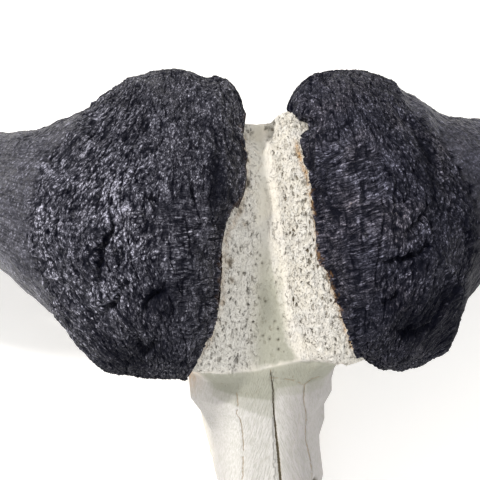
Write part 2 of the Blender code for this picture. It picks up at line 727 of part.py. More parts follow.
def make_skull(material):
    """The bone of the skull, one solid, with its sockets open."""
    hollows = new_helper("bone_hollows", new_mesh("bone_hollows", build_bone_hollows))
    sockets = new_helper("tooth_sockets", new_mesh("tooth_sockets", build_sockets))
    skull = new_object("skull", new_mesh("skull", build_bone_forms), material)
    add_remesh(skull)
    add_cut(skull, hollows)
    add_remesh(skull)
    add_smooth(skull)
    thin = skull.modifiers.new("thin out", "DECIMATE")
    thin.ratio = BONE_FACES_KEPT
    add_cut(skull, sockets)
    apply_modifiers(skull)
    return skull


def make_horn(side, skull, material):
    """One horn sheath, hollowed so that it slips over the bony core."""
    guide = new_helper(f"core_clearance_{side}", skull.data.copy())
    swell = guide.modifiers.new("clearance", "DISPLACE")
    swell.strength, swell.mid_level = SLIP_GAP * MM, 0.0
    name = f"horn_sheath_{side}"
    horn = new_object(name, new_mesh(name, build_horn(side)), material)
    add_cut(horn, guide)
    apply_modifiers(horn)
    return horn


def make_teeth(material):
    """The twelve cheek teeth."""
    made = []
    for side, sign in SIDES.items():
        for tooth, row in TEETH.items():
            name = f"{tooth}_{side}"
            made.append(new_object(name, new_mesh(name, build_tooth(row, sign, TOOTH_LEVELS)), material))
    return made


def centre_on_box(objects):
    """Moves every piece so that the origin is under the middle of the model's box."""
    corners = np.array([vert.co for piece in objects for vert in piece.data.vertices])
    low, high = corners.min(0), corners.max(0)
    shift = np.array([-(low[0] + high[0]) / 2, -(low[1] + high[1]) / 2, -low[2]])
    for piece in objects:
        for vert in piece.data.vertices:
            vert.co = np.array(vert.co) + shift


def shade(objects):
    """Shades every piece smooth, with its sharp edges kept."""
    for piece in objects:
        piece.data.shade_smooth()
        piece.data.set_sharp_from_angle(angle=CREASE_ANGLE)


def main():
    """Builds the skull, its horns and its teeth."""
    for old in list(bpy.data.objects):
        bpy.data.objects.remove(old)
    bone = new_material("bone", BONE_COLOUR, 0.8)
    keratin = new_material("horn", HORN_COLOUR, 0.55)
    enamel = new_material("tooth", TOOTH_COLOUR, 0.4)
    skull = make_skull(bone)
    pieces = [skull, *(make_horn(side, skull, keratin) for side in SIDES), *make_teeth(enamel)]
    centre_on_box(pieces)
    shade(pieces)


main()
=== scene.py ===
"""The looks of a Cape buffalo bull's skull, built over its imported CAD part.

The bone, the two horn sheaths and the cheek teeth each stand for their CAD nodes. Forms are worked out in
millimetres, mostly in the crown's own directions: x to the viewer's right, u back along the crown and w out
from it. They become metres in the row frame where a mesh is made.
"""

from __future__ import annotations

import json
import logging
import math
from collections.abc import Callable, Sequence
from dataclasses import dataclass
from enum import Enum

import bmesh
import bpy
import numpy as np
from mathutils import Matrix, Vector

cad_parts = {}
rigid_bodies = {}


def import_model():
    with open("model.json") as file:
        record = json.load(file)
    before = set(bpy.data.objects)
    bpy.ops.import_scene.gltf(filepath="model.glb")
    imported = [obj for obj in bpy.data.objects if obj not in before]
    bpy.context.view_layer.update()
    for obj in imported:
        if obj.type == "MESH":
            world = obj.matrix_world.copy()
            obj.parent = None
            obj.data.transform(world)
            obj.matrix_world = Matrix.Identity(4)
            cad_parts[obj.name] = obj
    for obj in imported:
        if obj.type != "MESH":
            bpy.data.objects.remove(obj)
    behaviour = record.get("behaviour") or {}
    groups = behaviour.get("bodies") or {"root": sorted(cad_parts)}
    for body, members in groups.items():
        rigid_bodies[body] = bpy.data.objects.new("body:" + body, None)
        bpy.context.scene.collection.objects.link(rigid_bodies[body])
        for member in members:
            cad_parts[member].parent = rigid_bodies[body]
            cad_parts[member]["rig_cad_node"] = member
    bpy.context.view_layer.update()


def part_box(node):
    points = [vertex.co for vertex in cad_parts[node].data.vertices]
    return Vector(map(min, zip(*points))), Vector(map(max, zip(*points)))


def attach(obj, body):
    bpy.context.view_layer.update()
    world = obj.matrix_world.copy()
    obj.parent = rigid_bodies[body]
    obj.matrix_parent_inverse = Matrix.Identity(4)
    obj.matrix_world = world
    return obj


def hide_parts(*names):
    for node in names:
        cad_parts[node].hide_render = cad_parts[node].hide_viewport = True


LOG = logging.getLogger("buffalo_skull")
MM = 0.001
Array = np.ndarray
Line = Sequence[tuple[float, float]]


class Side(Enum):
    """The viewer's left or right, as a sign along X."""

    LEFT = -1.0
    RIGHT = 1.0

    @property
    def word(self) -> str:
        """The side's name, as the CAD nodes have it."""
        return self.name.lower()


@dataclass(frozen=True)
class Places:
    """Turns the crown's and the skull's own directions into the row frame, and back."""

    middle_y: float
    lean: float = math.radians(20.0)
    crown_station: float = 361.0
    crown_height: float = 262.0
    half_length: float = 260.0

    @classmethod
    def from_frame(cls) -> Places:
        """Reads where the CAD model lies from its second molar.

        Returns:
            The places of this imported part.
        """
        low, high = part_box("molar_2_left")
        behind = cls.half_length - TEETH["molar_2"].station
        return cls(middle_y=(low.y + high.y) / 2 + behind * MM)

    def skull(self, points: Array) -> Array:
        """Turns (side, station, height) in millimetres into metres.

        Args:
            points: Rows of side, distance behind the nose tip, and height.

        Returns:
            Rows of x, y and z in the row frame.
        """
        points = np.asarray(points, float)
        return (points - (0.0, self.half_length, 0.0)) * MM + (0.0, self.middle_y, 0.0)

    def crown(self, points: Array) -> Array:
        """Turns crown directions in millimetres into metres in the row frame.

        Args:
            points: Rows of x, u and w.

        Returns:
            Rows of x, y and z in the row frame.
        """
        points = np.asarray(points, float)
        cos, sin = math.cos(self.lean), math.sin(self.lean)
        x, back, out = points[..., 0], points[..., 1], points[..., 2]
        station = self.crown_station + back * cos - out * sin
        height = self.crown_height + back * sin + out * cos
        return self.skull(np.stack([x, station, height], axis=-1))

    def to_crown(self, points: Array) -> Array:
        """Turns metres in the row frame into crown directions in millimetres.

        Args:
            points: Rows of x, y and z.

        Returns:
            Rows of x, u and w.
        """
        cos, sin = math.cos(self.lean), math.sin(self.lean)
        side = points[..., 0] / MM
        station = (points[..., 1] - self.middle_y) / MM + self.half_length - self.crown_station
        height = points[..., 2] / MM - self.crown_height
        return np.stack([side, station * cos + height * sin, height * cos - station * sin], axis=-1)


# Numbers on curves and masks


def rows_at(rows: Array, places: Array) -> Array:
    """Reads rows of numbers on a smooth curve through the given ones.

    Args:
        rows: The rows that the curve goes through.
        places: Where to read it, counted in rows.

    Returns:
        One row for each place.
    """
    padded = np.vstack([2 * rows[0] - rows[1], rows, 2 * rows[-1] - rows[-2]])
    i = np.clip(places.astype(int), 0, len(rows) - 2)
    f = (places - i)[:, None]
    a, b, c, d = (padded[i + k] for k in range(4))
    return 0.5 * (2 * b + (c - a) * f + (2 * a - 5 * b + 4 * c - d) * f**2 + (3 * b - a - 3 * c + d) * f**3)


def ease(value: Array, start: float, end: float) -> Array:
    """Rises smoothly from 0 at start to 1 at end.

    Args:
        value: The values to read.
        start: Where the result is 0.
        end: Where the result is 1.

    Returns:
        Values from 0 to 1.
    """
    t = np.clip((value - start) / (end - start), 0.0, 1.0)
    return t * t * (3 - 2 * t)


def between(value: Array, start: float, full: float, fade: float, end: float) -> Array:
    """Rises from 0 to 1 between start and full, and falls back to 0 between fade and end."""
    return ease(value, start, full) * (1 - ease(value, fade, end))


def curve(places: Array, stops: Sequence[Sequence[float]], column: int = 1) -> Array:
    """Reads a column of a drawn curve between its stops, which start with their places."""
    table = np.array(stops, float)
    return np.interp(places, table[:, 0], table[:, column])


def unit(vectors: Array) -> Array:
    """Rows of vectors at length one."""
    return vectors / np.maximum(np.linalg.norm(vectors, axis=-1, keepdims=True), 1e-12)


def line_reach(x: Array, u: Array, line: Line) -> tuple[Array, Array]:
    """Measures how far points are from a drawn line.

    Args:
        x: The points' sides.
        u: The points' distances back.
        line: The stops of the line.

    Returns:
        The distance from the line, and the share of the line's length at the nearest place.
    """
    best, share = np.full(x.shape, 1e9), np.zeros(x.shape)
    stops = np.asarray(line, float)
    lengths = np.linalg.norm(np.diff(stops, axis=0), axis=1)
    total, before = max(lengths.sum(), 1e-6), 0.0
    for start, end, length in zip(stops, stops[1:], lengths):
        way = end - start
        t = np.clip(((x - start[0]) * way[0] + (u - start[1]) * way[1]) / max(length**2, 1e-9), 0, 1)
        far = np.hypot(x - start[0] - t * way[0], u - start[1] - t * way[1])
        nearer = far < best
        best = np.where(nearer, far, best)
        share = np.where(nearer, (before + t * length) / total, share)
        before += length
    return best, share


@dataclass(frozen=True)
class Fold:
    """A crease, gouge or swelling drawn on the surface, in crown millimetres."""

    line: Line
    depth: float
    width: float

    def height(self, x: Array, u: Array) -> Array:
        """How far it moves the surface outwards.

        Args:
            x: The points' sides.
            u: The points' distances back.

        Returns:
            Millimetres, negative for a crease.
        """
        far, share = line_reach(x, u, self.line)
        if self.depth < 0:
            return -self.depth * np.exp(-((far / self.width) ** 2))
        ends = 0.3 + 0.7 * np.sin(np.pi * np.clip(share, 0.0, 1.0))
        return -self.depth * ends / (1.0 + (far / (self.width * (0.6 + 0.4 * ends))) ** 4)


@dataclass(frozen=True)
class Spot:
    """A soft round place on the surface, by its middle and half widths in crown millimetres."""

    x: float
    u: float
    wide: float
    long: float
    depth: float = 0.0

    def share(self, x: Array, u: Array) -> Array:
        """How far inside it points are, from 0 to 1."""
        return np.exp(-(((x - self.x) / self.wide) ** 2) - (((u - self.u) / self.long) ** 2))


def shares(spots: Sequence[Spot], x: Array, u: Array) -> Array:
    """How far inside any of some spots points are."""
    return sum(spot.share(x, u) for spot in spots)


def dents(spots: Sequence[Spot], x: Array, u: Array) -> Array:
    """How deep some spots press the surface in, in millimetres."""
    return sum(spot.depth * spot.share(x, u) for spot in spots)


def ragged(x: Array, u: Array, reach: float) -> tuple[Array, Array]:
    """Bends places by short waves, so that what is drawn there gets a torn edge.

    Args:
        x: The points' sides.
        u: The points' distances back.
        reach: How far the waves bend.

    Returns:
        The bent sides and distances back.
    """
    side = np.sin(u * 0.37 + 0.9 * np.sin(x * 0.21)) + 0.7 * np.sin(u * 0.83 + x * 0.31)
    back = np.sin(x * 0.41 + 0.8 * np.sin(u * 0.19)) + 0.7 * np.sin(x * 0.77 - u * 0.29)
    return x + reach * side, u + reach * back


# Nodes


class Wire:
    """A value that flows between nodes. Arithmetic on it adds the nodes that work it out."""

    def __init__(self, maker: NodeMaker, socket: bpy.types.NodeSocket) -> None:
        """Keeps the socket that the value comes out of."""
        self.maker = maker
        self.socket = socket

    def __add__(self, other: Wire | float | tuple) -> Wire:
        """The sum of two values."""
        return self.maker.arithmetic("ADD", self, other)

    def __radd__(self, other: float | tuple) -> Wire:
        """The sum of two values."""
        return self.maker.arithmetic("ADD", other, self)

    def __sub__(self, other: Wire | float | tuple) -> Wire:
        """The difference of two values."""
        return self.maker.arithmetic("SUBTRACT", self, other)

    def __rsub__(self, other: float | tuple) -> Wire:
        """The difference of two values."""
        return self.maker.arithmetic("SUBTRACT", other, self)

    def __mul__(self, other: Wire | float | tuple) -> Wire:
        """The product of two values."""
        return self.maker.arithmetic("MULTIPLY", self, other)

    def __rmul__(self, other: float | tuple) -> Wire:
        """The product of two values."""
        return self.maker.arithmetic("MULTIPLY", other, self)

    def __truediv__(self, other: Wire | float | tuple) -> Wire:
        """The quotient of two values."""
        return self.maker.arithmetic("DIVIDE", self, other)


Value = Wire | float | tuple
Inputs = dict[str | int, Value]


class NodeMaker:
    """Adds nodes to a shader or geometry tree."""

    def __init__(self, tree: bpy.types.NodeTree) -> None:
        """Starts on a tree."""
        self.tree = tree

    def node(self, kind: str, inputs: Inputs | None = None, **settings: object) -> bpy.types.Node:
        """Adds a node.

        Args:
            kind: Its type.
            inputs: What goes into its sockets.
            settings: Its own properties.

        Returns:
            The node.
        """
        made = self.tree.nodes.new(kind)
        for name, value in settings.items():
            setattr(made, name, value)
        for socket, value in (inputs or {}).items():
            self.put(made.inputs[socket], value)
        return made

    def wire(self, kind: str, inputs: Inputs | None = None, out: str | int = 0, **settings: object) -> Wire:
        """Adds a node and gives one of its outputs."""
        return Wire(self, self.node(kind, inputs, **settings).outputs[out])

    def put(self, socket: bpy.types.NodeSocket, value: Value) -> None:
        """Links a wire into a socket, or sets the socket's constant.

        Args:
            socket: The socket.
            value: The wire, or the constant.
        """
        if isinstance(value, Wire):
            self.tree.links.new(value.socket, socket)
        elif socket.type in ("VECTOR", "RGBA") and not isinstance(value, tuple):
            socket.default_value = (value,) * len(socket.default_value)
        else:
            socket.default_value = value

    def arithmetic(self, operation: str, a: Value, b: Value) -> Wire:
        """Works out plain arithmetic, on vectors where either value is one.

        Args:
            operation: What is done with the values.
            a: The first value.
            b: The second value.

        Returns:
            The result.
        """
        kinds = [value.socket.type for value in (a, b) if isinstance(value, Wire)]
        vectors = "VECTOR" in kinds or isinstance(a, tuple) or isinstance(b, tuple)
        kind = "ShaderNodeVectorMath" if vectors else "ShaderNodeMath"
        return self.wire(kind, {0: a, 1: b}, operation=operation)

    def math(self, operation: str, a: Value, b: Value = 0.0) -> Wire:
        """Adds a Math node."""
        return self.wire("ShaderNodeMath", {0: a, 1: b}, operation=operation)

    def split(self, vector: Wire) -> tuple[Wire, Wire, Wire]:
        """Takes a vector apart."""
        made = self.node("ShaderNodeSeparateXYZ", {0: vector})
        return tuple(Wire(self, out) for out in made.outputs)

    def join(self, x: Value, y: Value, z: Value) -> Wire:
        """Puts a vector together."""
        return self.wire("ShaderNodeCombineXYZ", {0: x, 1: y, 2: z})

    def ease(self, value: Value, start: Value, end: Value, low: float = 0.0, high: float = 1.0) -> Wire:
        """Maps a value smoothly from one range to another, and holds it there.

        Args:
            value: The value to map.
            start: Where the result is low.
            end: Where the result is high.
            low: The first result.
            high: The last result.

        Returns:
            The mapped value.
        """
        inputs = dict(enumerate((value, start, end, low, high)))
        return self.wire("ShaderNodeMapRange", inputs, interpolation_type="SMOOTHSTEP")

    def noise(self, vector: Wire, detail: float = 2.0, rough: float = 0.5, warp: float = 0.0) -> Wire:
        """Soft noise from 0 to 1, with features about one unit across."""
        inputs = {"Vector": vector, "Scale": 1.0, "Detail": detail, "Roughness": rough, "Distortion": warp}
        return self.wire("ShaderNodeTexNoise", inputs)

    def patches(self, place: Wire, start: float, end: float, detail: float = 2.0, rough: float = 0.5) -> Wire:
        """Noise made into patches, from 0 to 1."""
        return self.ease(self.noise(place, detail, rough), start, end)

    def swing(self, vector: Wire, detail: float = 2.0, rough: float = 0.5) -> Wire:
        """Soft noise about zero, from -1 to 1."""
        return (self.noise(vector, detail, rough) - 0.5) * 2.6

    def ridges(self, vector: Wire, detail: float = 2.0, rough: float = 0.5) -> Wire:
        """Noise with sharp crests, from 0 to 1."""
        return 1.0 - self.math("ABSOLUTE", self.swing(vector, detail, rough))

    def voronoi(self, vector: Wire, feature: str = "F1", randomness: float = 1.0) -> bpy.types.Node:
        """Adds a pattern of cells about one unit across."""
        inputs = {"Vector": vector, "Scale": 1.0, "Randomness": randomness}
        return self.node("ShaderNodeTexVoronoi", inputs, feature=feature)

    def cells(self, vector: Wire, feature: str = "F1", randomness: float = 1.0) -> Wire:
        """Distance in a pattern of cells about one unit across."""
        return Wire(self, self.voronoi(vector, feature, randomness).outputs["Distance"])

    def cracks(self, vector: Wire, start: float, end: float, randomness: float = 1.0) -> Wire:
        """Thin cracks between cells about one unit across, from 0 to 1."""
        return self.ease(self.cells(vector, "DISTANCE_TO_EDGE", randomness), start, end, 1.0, 0.0)

    def dots(self, vector: Wire, share: float, radius: float) -> Wire:
        """Draws round dots of many sizes.

        Args:
            vector: The place, in cells about one unit across.
            share: How many of the cells have a dot.
            radius: The radius of the largest dot.

        Returns:
            How deep inside a dot a point is, from 0 to 1.
        """
        made = self.voronoi(vector)
        chance = self.split(Wire(self, made.outputs["Color"]))[0]
        reach = self.ease(chance, 1.0 - share, 1.0, 0.0, radius)
        return self.ease(reach - Wire(self, made.outputs["Distance"]), 0.0, 0.14)

    def warped(self, vector: Wire, size: float, amount: float) -> Wire:
        """Bends a vector by soft noise, so that a pattern on it looks grown.

        Args:
            vector: The vector, in millimetres.
            size: How wide the bends are.
            amount: How far they reach.

        Returns:
            The bent vector.
        """
        inputs = {"Vector": vector / size, "Scale": 1.0, "Detail": 1.0}
        noise = self.wire("ShaderNodeTexNoise", inputs, "Color")
        bend = self.wire("ShaderNodeVectorMath", {0: noise, 1: 0.5}, operation="SUBTRACT")
        return vector + bend * (2 * amount)

    def blend(self, share: Value, first: Value, second: Value) -> Wire:
        """Mixes two colours.

        Args:
            share: How much of the second colour there is, from 0 to 1.
            first: The first colour.
            second: The second colour.

        Returns:
            The mixed colour.
        """
        made = self.node("ShaderNodeMix", {"Factor": share}, data_type="RGBA")
        colours = [socket for socket in made.inputs if socket.type == "RGBA"]
        for socket, value in zip(colours, (first, second)):
            self.put(socket, (*value, 1.0) if isinstance(value, tuple) else value)
        return Wire(self, next(out for out in made.outputs if out.type == "RGBA"))

    def along_line(self, value: Wire, line: Line, low: float, high: float, reach: float) -> Wire:
        """Reads a drawn curve: for each value, how far to the side the line lies.

        Args:
            value: The distance along the line.
            line: Stops of (value, side).
            low: The value at the curve's start.
            high: The value at its end.
            reach: The largest side, either way.

        Returns:
            The line's side.
        """
        made = self.node("ShaderNodeFloatCurve")
        drawn = made.mapping.curves[0]
        spots = [((v - low) / (high - low), 0.5 + s / (2 * reach)) for v, s in sorted(line)]
        drawn.points[0].location, drawn.points[-1].location = spots[0], spots[-1]
        for spot in spots[1:-1]:
            drawn.points.new(*spot)
        made.mapping.extend = "HORIZONTAL"
        made.mapping.update()
        self.put(made.inputs["Value"], (value - low) / (high - low))
        return (Wire(self, made.outputs[0]) - 0.5) * (2 * reach)


class GeometryTree(NodeMaker):
    """A Geometry Nodes tree with named inputs, which is run once and made a plain mesh."""

    kinds = {float: "NodeSocketFloat", int: "NodeSocketInt"}

    def __init__(self, name: str, inputs: dict[str, float | int]) -> None:
        """Makes the tree and its named inputs.

        Args:
            name: The tree's name.
            inputs: Each input's name and value.
        """
        super().__init__(bpy.data.node_groups.new(name, "GeometryNodeTree"))
        face = self.tree.interface
        face.new_socket("Geometry", in_out="INPUT", socket_type="NodeSocketGeometry")
        face.new_socket("Geometry", in_out="OUTPUT", socket_type="NodeSocketGeometry")
        face.new_socket("Finish", in_out="INPUT", socket_type="NodeSocketMaterial")
        for label, value in inputs.items():
            made = face.new_socket(label, in_out="INPUT", socket_type=self.kinds[type(value)])
            made.default_value = value
        self.start = self.node("NodeGroupInput")
        self.end = self.node("NodeGroupOutput")

    def given(self, label: str) -> Wire:
        """One of the tree's inputs."""
        return Wire(self, self.start.outputs[label])

    def stored(self, name: str, kind: str = "FLOAT") -> Wire:
        """An attribute that the mesh already has."""
        made = self.node("GeometryNodeInputNamedAttribute", {"Name": name}, data_type=kind)
        return Wire(self, next(out for out in made.outputs if out.enabled and out.name == "Attribute"))

    def raise_surface(self, geometry: Wire, height: Wire) -> Wire:
        """Moves the surface along its own normals by a height in millimetres."""
        offset = self.wire("GeometryNodeInputNormal") * (height * MM)
        return self.wire("GeometryNodeSetPosition", {"Geometry": geometry, "Offset": offset})

    def random(self, low: tuple, high: tuple, seed: Wire) -> Wire:
        """A random vector for every point."""
        inputs = {0: low, 1: high, "Seed": seed}
        return self.wire("FunctionNodeRandomValue", inputs, data_type="FLOAT_VECTOR")

    def scatter(self, surface: Wire, share: Wire, density: Wire, size: Wire, flat: float, seed: Wire) -> Wire:
        """Spreads small angular crumbs over a surface.

        Args:
            surface: The mesh that they sit on.
            share: Where they may lie, from 0 to 1.
            density: How many to a square metre.
            size: A crumb's radius, in metres.
            flat: How thick a crumb is, as a share of its width.
            seed: The seed of their places and turns.

        Returns:
            The crumbs, as instances.
        """
        inputs = {"Mesh": surface, "Density": share * density, "Seed": seed}
        points = self.node("GeometryNodeDistributePointsOnFaces", inputs, distribute_method="RANDOM")
        turn = self.random((-0.5, -0.5, 0.0), (0.5, 0.5, 2 * math.pi), seed)
        grow = self.random((0.5, 0.4, 0.35 * flat), (1.3, 1.0, flat), seed)
        inputs = {0: Wire(self, points.outputs["Rotation"]), 1: turn}
        crumbs = {
            "Points": Wire(self, points.outputs["Points"]),
            "Instance": self.wire("GeometryNodeMeshIcoSphere", {"Radius": 1.0, "Subdivisions": 1}, "Mesh"),
            "Rotation": self.wire("FunctionNodeRotateRotation", inputs, rotation_space="LOCAL"),
            "Scale": grow * size,
        }
        return self.wire("GeometryNodeInstanceOnPoints", crumbs)

    def gather(self, *parts: Wire) -> Wire:
        """Joins several geometries.

        Args:
            parts: The geometries.

        Returns:
            All of them as one.
        """
        made = self.node("GeometryNodeJoinGeometry")
        for part in parts:
            self.tree.links.new(part.socket, made.inputs[0])
        return Wire(self, made.outputs[0])

    def finish(self, geometry: Wire) -> None:
        """Ends the tree with real instances and the finish.

        Args:
            geometry: What the tree has made.
        """
        real = self.wire("GeometryNodeRealizeInstances", {0: geometry})
        inputs = {"Geometry": real, "Material": self.given("Finish")}
        self.put(self.end.inputs[0], self.wire("GeometryNodeSetMaterial", inputs))

    def run(self, target: bpy.types.Object, values: dict[str, object]) -> None:
        """Runs the tree on an object once, and keeps the result as its plain mesh.

        Args:
            target: The object.
            values: The inputs' values by name.
        """
        modifier = target.modifiers.new(self.tree.name, "NODES")
        modifier.node_group = self.tree
        for item in self.tree.interface.items_tree:
            if item.in_out == "INPUT" and item.name in values:
                modifier[item.identifier] = values[item.name]
        make_plain(target)


# Meshes


def new_object(name: str, data: bpy.types.ID) -> bpy.types.Object:
    """Links an object into the scene.

    Args:
        name: The object's name.
        data: Its mesh, light or camera.

    Returns:
        The object.
    """
    made = bpy.data.objects.new(name, data)
    bpy.context.scene.collection.objects.link(made)
    return made


def make_plain(target: bpy.types.Object) -> None:
    """Gives an object the mesh that its modifiers make, and removes them.

    Args:
        target: The object.
    """
    bpy.context.view_layer.update()
    graph = bpy.context.evaluated_depsgraph_get()
    mesh = bpy.data.meshes.new_from_object(target.evaluated_get(graph), depsgraph=graph)
    target.modifiers.clear()
    old, target.data = target.data, mesh
    bpy.data.meshes.remove(old)
    mesh.name = target.name


def positions(mesh: bpy.types.Mesh) -> Array:
    """Reads every vertex's place.

    Args:
        mesh: The mesh.

    Returns:
        Rows of x, y and z in metres.
    """
    flat = np.empty(len(mesh.vertices) * 3, np.float32)
    mesh.vertices.foreach_get("co", flat)
    return flat.reshape(-1, 3).astype(float)


def place_vertices(mesh: bpy.types.Mesh, points: Array) -> None:
    """Moves every vertex."""
    mesh.vertices.foreach_set("co", np.asarray(points, np.float32).ravel())
    mesh.update()


def keep_value(mesh: bpy.types.Mesh, name: str, values: Array) -> None:
    """Stores a number or a vector for every vertex, for nodes to read.

    Args:
        mesh: The mesh.
        name: What nodes call it.
        values: The numbers, or rows of three.
    """
    kind, label = ("FLOAT", "value") if values.ndim == 1 else ("FLOAT_VECTOR", "vector")
    made = mesh.attributes.new(name, kind, "POINT")
    made.data.foreach_set(label, values.astype(np.float32).ravel())


def relax(mesh: bpy.types.Mesh, rounds: int) -> None:
    """Smooths a mesh without shrinking it.

    Args:
        mesh: The mesh.
        rounds: How many times.
    """
    shrink, grow = 0.55, -0.57
    points = positions(mesh)
    edges = np.empty(len(mesh.edges) * 2, np.int32)
    mesh.edges.foreach_get("vertices", edges)
    a, b = edges.reshape(-1, 2).T
    count = np.bincount(a, minlength=len(points)) + np.bincount(b, minlength=len(points))
    for turn in range(2 * rounds):
        share = shrink if turn % 2 == 0 else grow
        pull = np.empty_like(points)
        for k in range(3):
            near = np.bincount(a, points[b, k], len(points)) + np.bincount(b, points[a, k], len(points))
            pull[:, k] = near / np.maximum(count, 1) - points[:, k]
        points += share * pull
    place_vertices(mesh, points)


def ring_mesh(name: str, rings: Array) -> bpy.types.Mesh:
    """Joins closed rings of points into a closed skin.

    Args:
        name: The mesh's name.
        rings: Points by ring and by side, in metres.

    Returns:
        The mesh.
    """
    count, sides = rings.shape[:2]
    index = np.arange(count * sides).reshape(count, sides)
    near, far = index[:-1], index[1:]
    quads = np.stack([near, np.roll(near, -1, 1), np.roll(far, -1, 1), far], axis=-1).reshape(-1, 4)
    points = np.vstack([rings.reshape(-1, 3), rings[0].mean(0), rings[-1].mean(0)])
    first, last = count * sides, count * sides + 1
    ends = [(first, index[0][(k + 1) % sides], index[0][k]) for k in range(sides)]
    ends += [(last, index[-1][k], index[-1][(k + 1) % sides]) for k in range(sides)]
    mesh = bpy.data.meshes.new(name)
    mesh.from_pydata(points.tolist(), [], quads.tolist() + [tuple(int(v) for v in end) for end in ends])
    work = bmesh.new()
    work.from_mesh(mesh)
    bmesh.ops.recalc_face_normals(work, faces=work.faces)
    work.to_mesh(mesh)
    work.free()
    return mesh


def with_ends(values: Array) -> Array:
    """Values by ring and side as one list, with the middles of the first and last ring behind."""
    flat = values.reshape(-1, *values.shape[2:])
    return np.concatenate([flat, values[0].mean(0, keepdims=True), values[-1].mean(0, keepdims=True)])


def triangles(mesh: bpy.types.Mesh) -> int:
    """How many triangles a mesh has."""
    return sum(len(face.vertices) - 2 for face in mesh.polygons)


def cad_mesh(node: str) -> bpy.types.Mesh:
    """A copy of a CAD node's mesh."""
    return next(o.data for o in bpy.data.objects if o.get("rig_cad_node") == node).copy()


# Finishes


def make_group(
    name: str,
    inputs: dict[str, float | tuple],
    output: str,
    build: Callable[[NodeMaker, dict[str, Wire]], Wire],
) -> bpy.types.NodeTree:
    """Makes a shader node group that several finishes share.

    Args:
        name: The group's name.
        inputs: Each input's name and value.
        output: The name of the number that comes out.
        build: Works it out from the inputs.

    Returns:
        The group.
    """
    tree = bpy.data.node_groups.new(name, "ShaderNodeTree")
    maker = NodeMaker(tree)
    for label, value in inputs.items():
        kind = "NodeSocketVector" if isinstance(value, tuple) else "NodeSocketFloat"
        tree.interface.new_socket(label, in_out="INPUT", socket_type=kind).default_value = value
    tree.interface.new_socket(output, in_out="OUTPUT", socket_type="NodeSocketFloat")
    start, end = maker.node("NodeGroupInput"), maker.node("NodeGroupOutput")
    given = {label: Wire(maker, start.outputs[label]) for label in inputs}
    maker.put(end.inputs[output], build(maker, given))
    return tree


class SharedEffects:
    """The effects that more than one finish uses, each built once."""

    def __init__(self) -> None:
        """Builds every group."""
        start, even = (0.0, 0.0, 0.0), (1.0, 1.0, 1.0)
        inputs = {"Place": start, "Stretch": even, "Size": 1.0, "Roughness": 0.6}
        self.grain = make_group("fine_grain", inputs, "Height", self._grain)
        inputs = {"Place": start, "Size": 20.0, "Low": 0.35, "High": 0.65}
        self.mottle = make_group("mottle", inputs, "Mask", self._mottle)
        self.chips = make_group("chips", {"Place": start, "Gap": 0.2}, "Tone", self._chips)

    @staticmethod
    def _grain(maker: NodeMaker, given: dict[str, Wire]) -> Wire:
        """Two sizes of fine relief."""
        place = given["Place"] * given["Stretch"] / given["Size"]
        return maker.noise(place, 3.0, 0.6) + maker.noise(place * 3.1, 2.0, 0.5) * 0.45 * given["Roughness"]

    @staticmethod
    def _mottle(maker: NodeMaker, given: dict[str, Wire]) -> Wire:
        """Soft patches."""
        value = maker.noise(given["Place"] / given["Size"], 4.0, 0.6, 0.4)
        return maker.ease(value, given["Low"], given["High"])

    @staticmethod
    def _chips(maker: NodeMaker, given: dict[str, Wire]) -> Wire:
        """Cells of their own brightness, with dark gaps between them.

        Args:
            maker: The group's tree.
            given: The group's inputs.

        Returns:
            How bright a cell is.
        """
        made = maker.voronoi(given["Place"])
        chance = maker.split(Wire(maker, made.outputs["Color"]))[0]
        gap = maker.math("MINIMUM", maker.cells(given["Place"], "DISTANCE_TO_EDGE") / given["Gap"], 1.0)
        return (chance * chance * 0.9 + 0.1) * (gap * 0.96 + 0.04)


class Shader(NodeMaker):
    """The node tree of one finish, with its Principled shader."""

    def __init__(self, name: str, effects: SharedEffects) -> None:
        """Makes the material.

        Args:
            name: The material's name.
            effects: The groups that it may use.
        """
        self.material = bpy.data.materials.new(name)
        self.material.use_nodes = True
        super().__init__(self.material.node_tree)
        self.effects = effects
        self.surface = self.tree.nodes["Principled BSDF"]

    def place(self) -> Wire:
        """The place on the piece, in millimetres of the row frame."""
        return self.wire("ShaderNodeTexCoord", out="Object") * (1.0 / MM)

    def stored(self, name: str, out: str = "Fac") -> Wire:
        """A number or vector stored on the piece's mesh."""
        return self.wire("ShaderNodeAttribute", out=out, attribute_name=name)

    def effect(self, tree: bpy.types.NodeTree, **values: Value) -> Wire:
        """Places a shared effect."""
        return self.wire("ShaderNodeGroup", values, node_tree=tree)

    def set(self, name: str, value: Value) -> None:
        """Sets one of the Principled shader's inputs.

        Args:
            name: The input.
            value: A wire, a number or a colour.
        """
        if isinstance(value, tuple) and len(value) == 3 and self.surface.inputs[name].type == "RGBA":
            value = (*value, 1.0)
        self.put(self.surface.inputs[name], value)

    def bump(self, height: Wire, strength: float, reach: float) -> None:
        """Gives the surface relief that is too fine for its mesh.

        Args:
            height: The relief.
            strength: How strong it is, from 0 to 1.
            reach: The relief's depth at height 1, in millimetres.
        """
        inputs = {"Strength": strength, "Distance": reach * MM, "Height": height}
        self.set("Normal", self.wire("ShaderNodeBump", inputs))


@dataclass(frozen=True)
class Grown:
    """A boss's relief and cracks at a place, and the bent places that its flakes and bars follow."""

    relief: Wire
    crease: Wire
    flakes: Wire
    bars: Wire
    barred: Wire


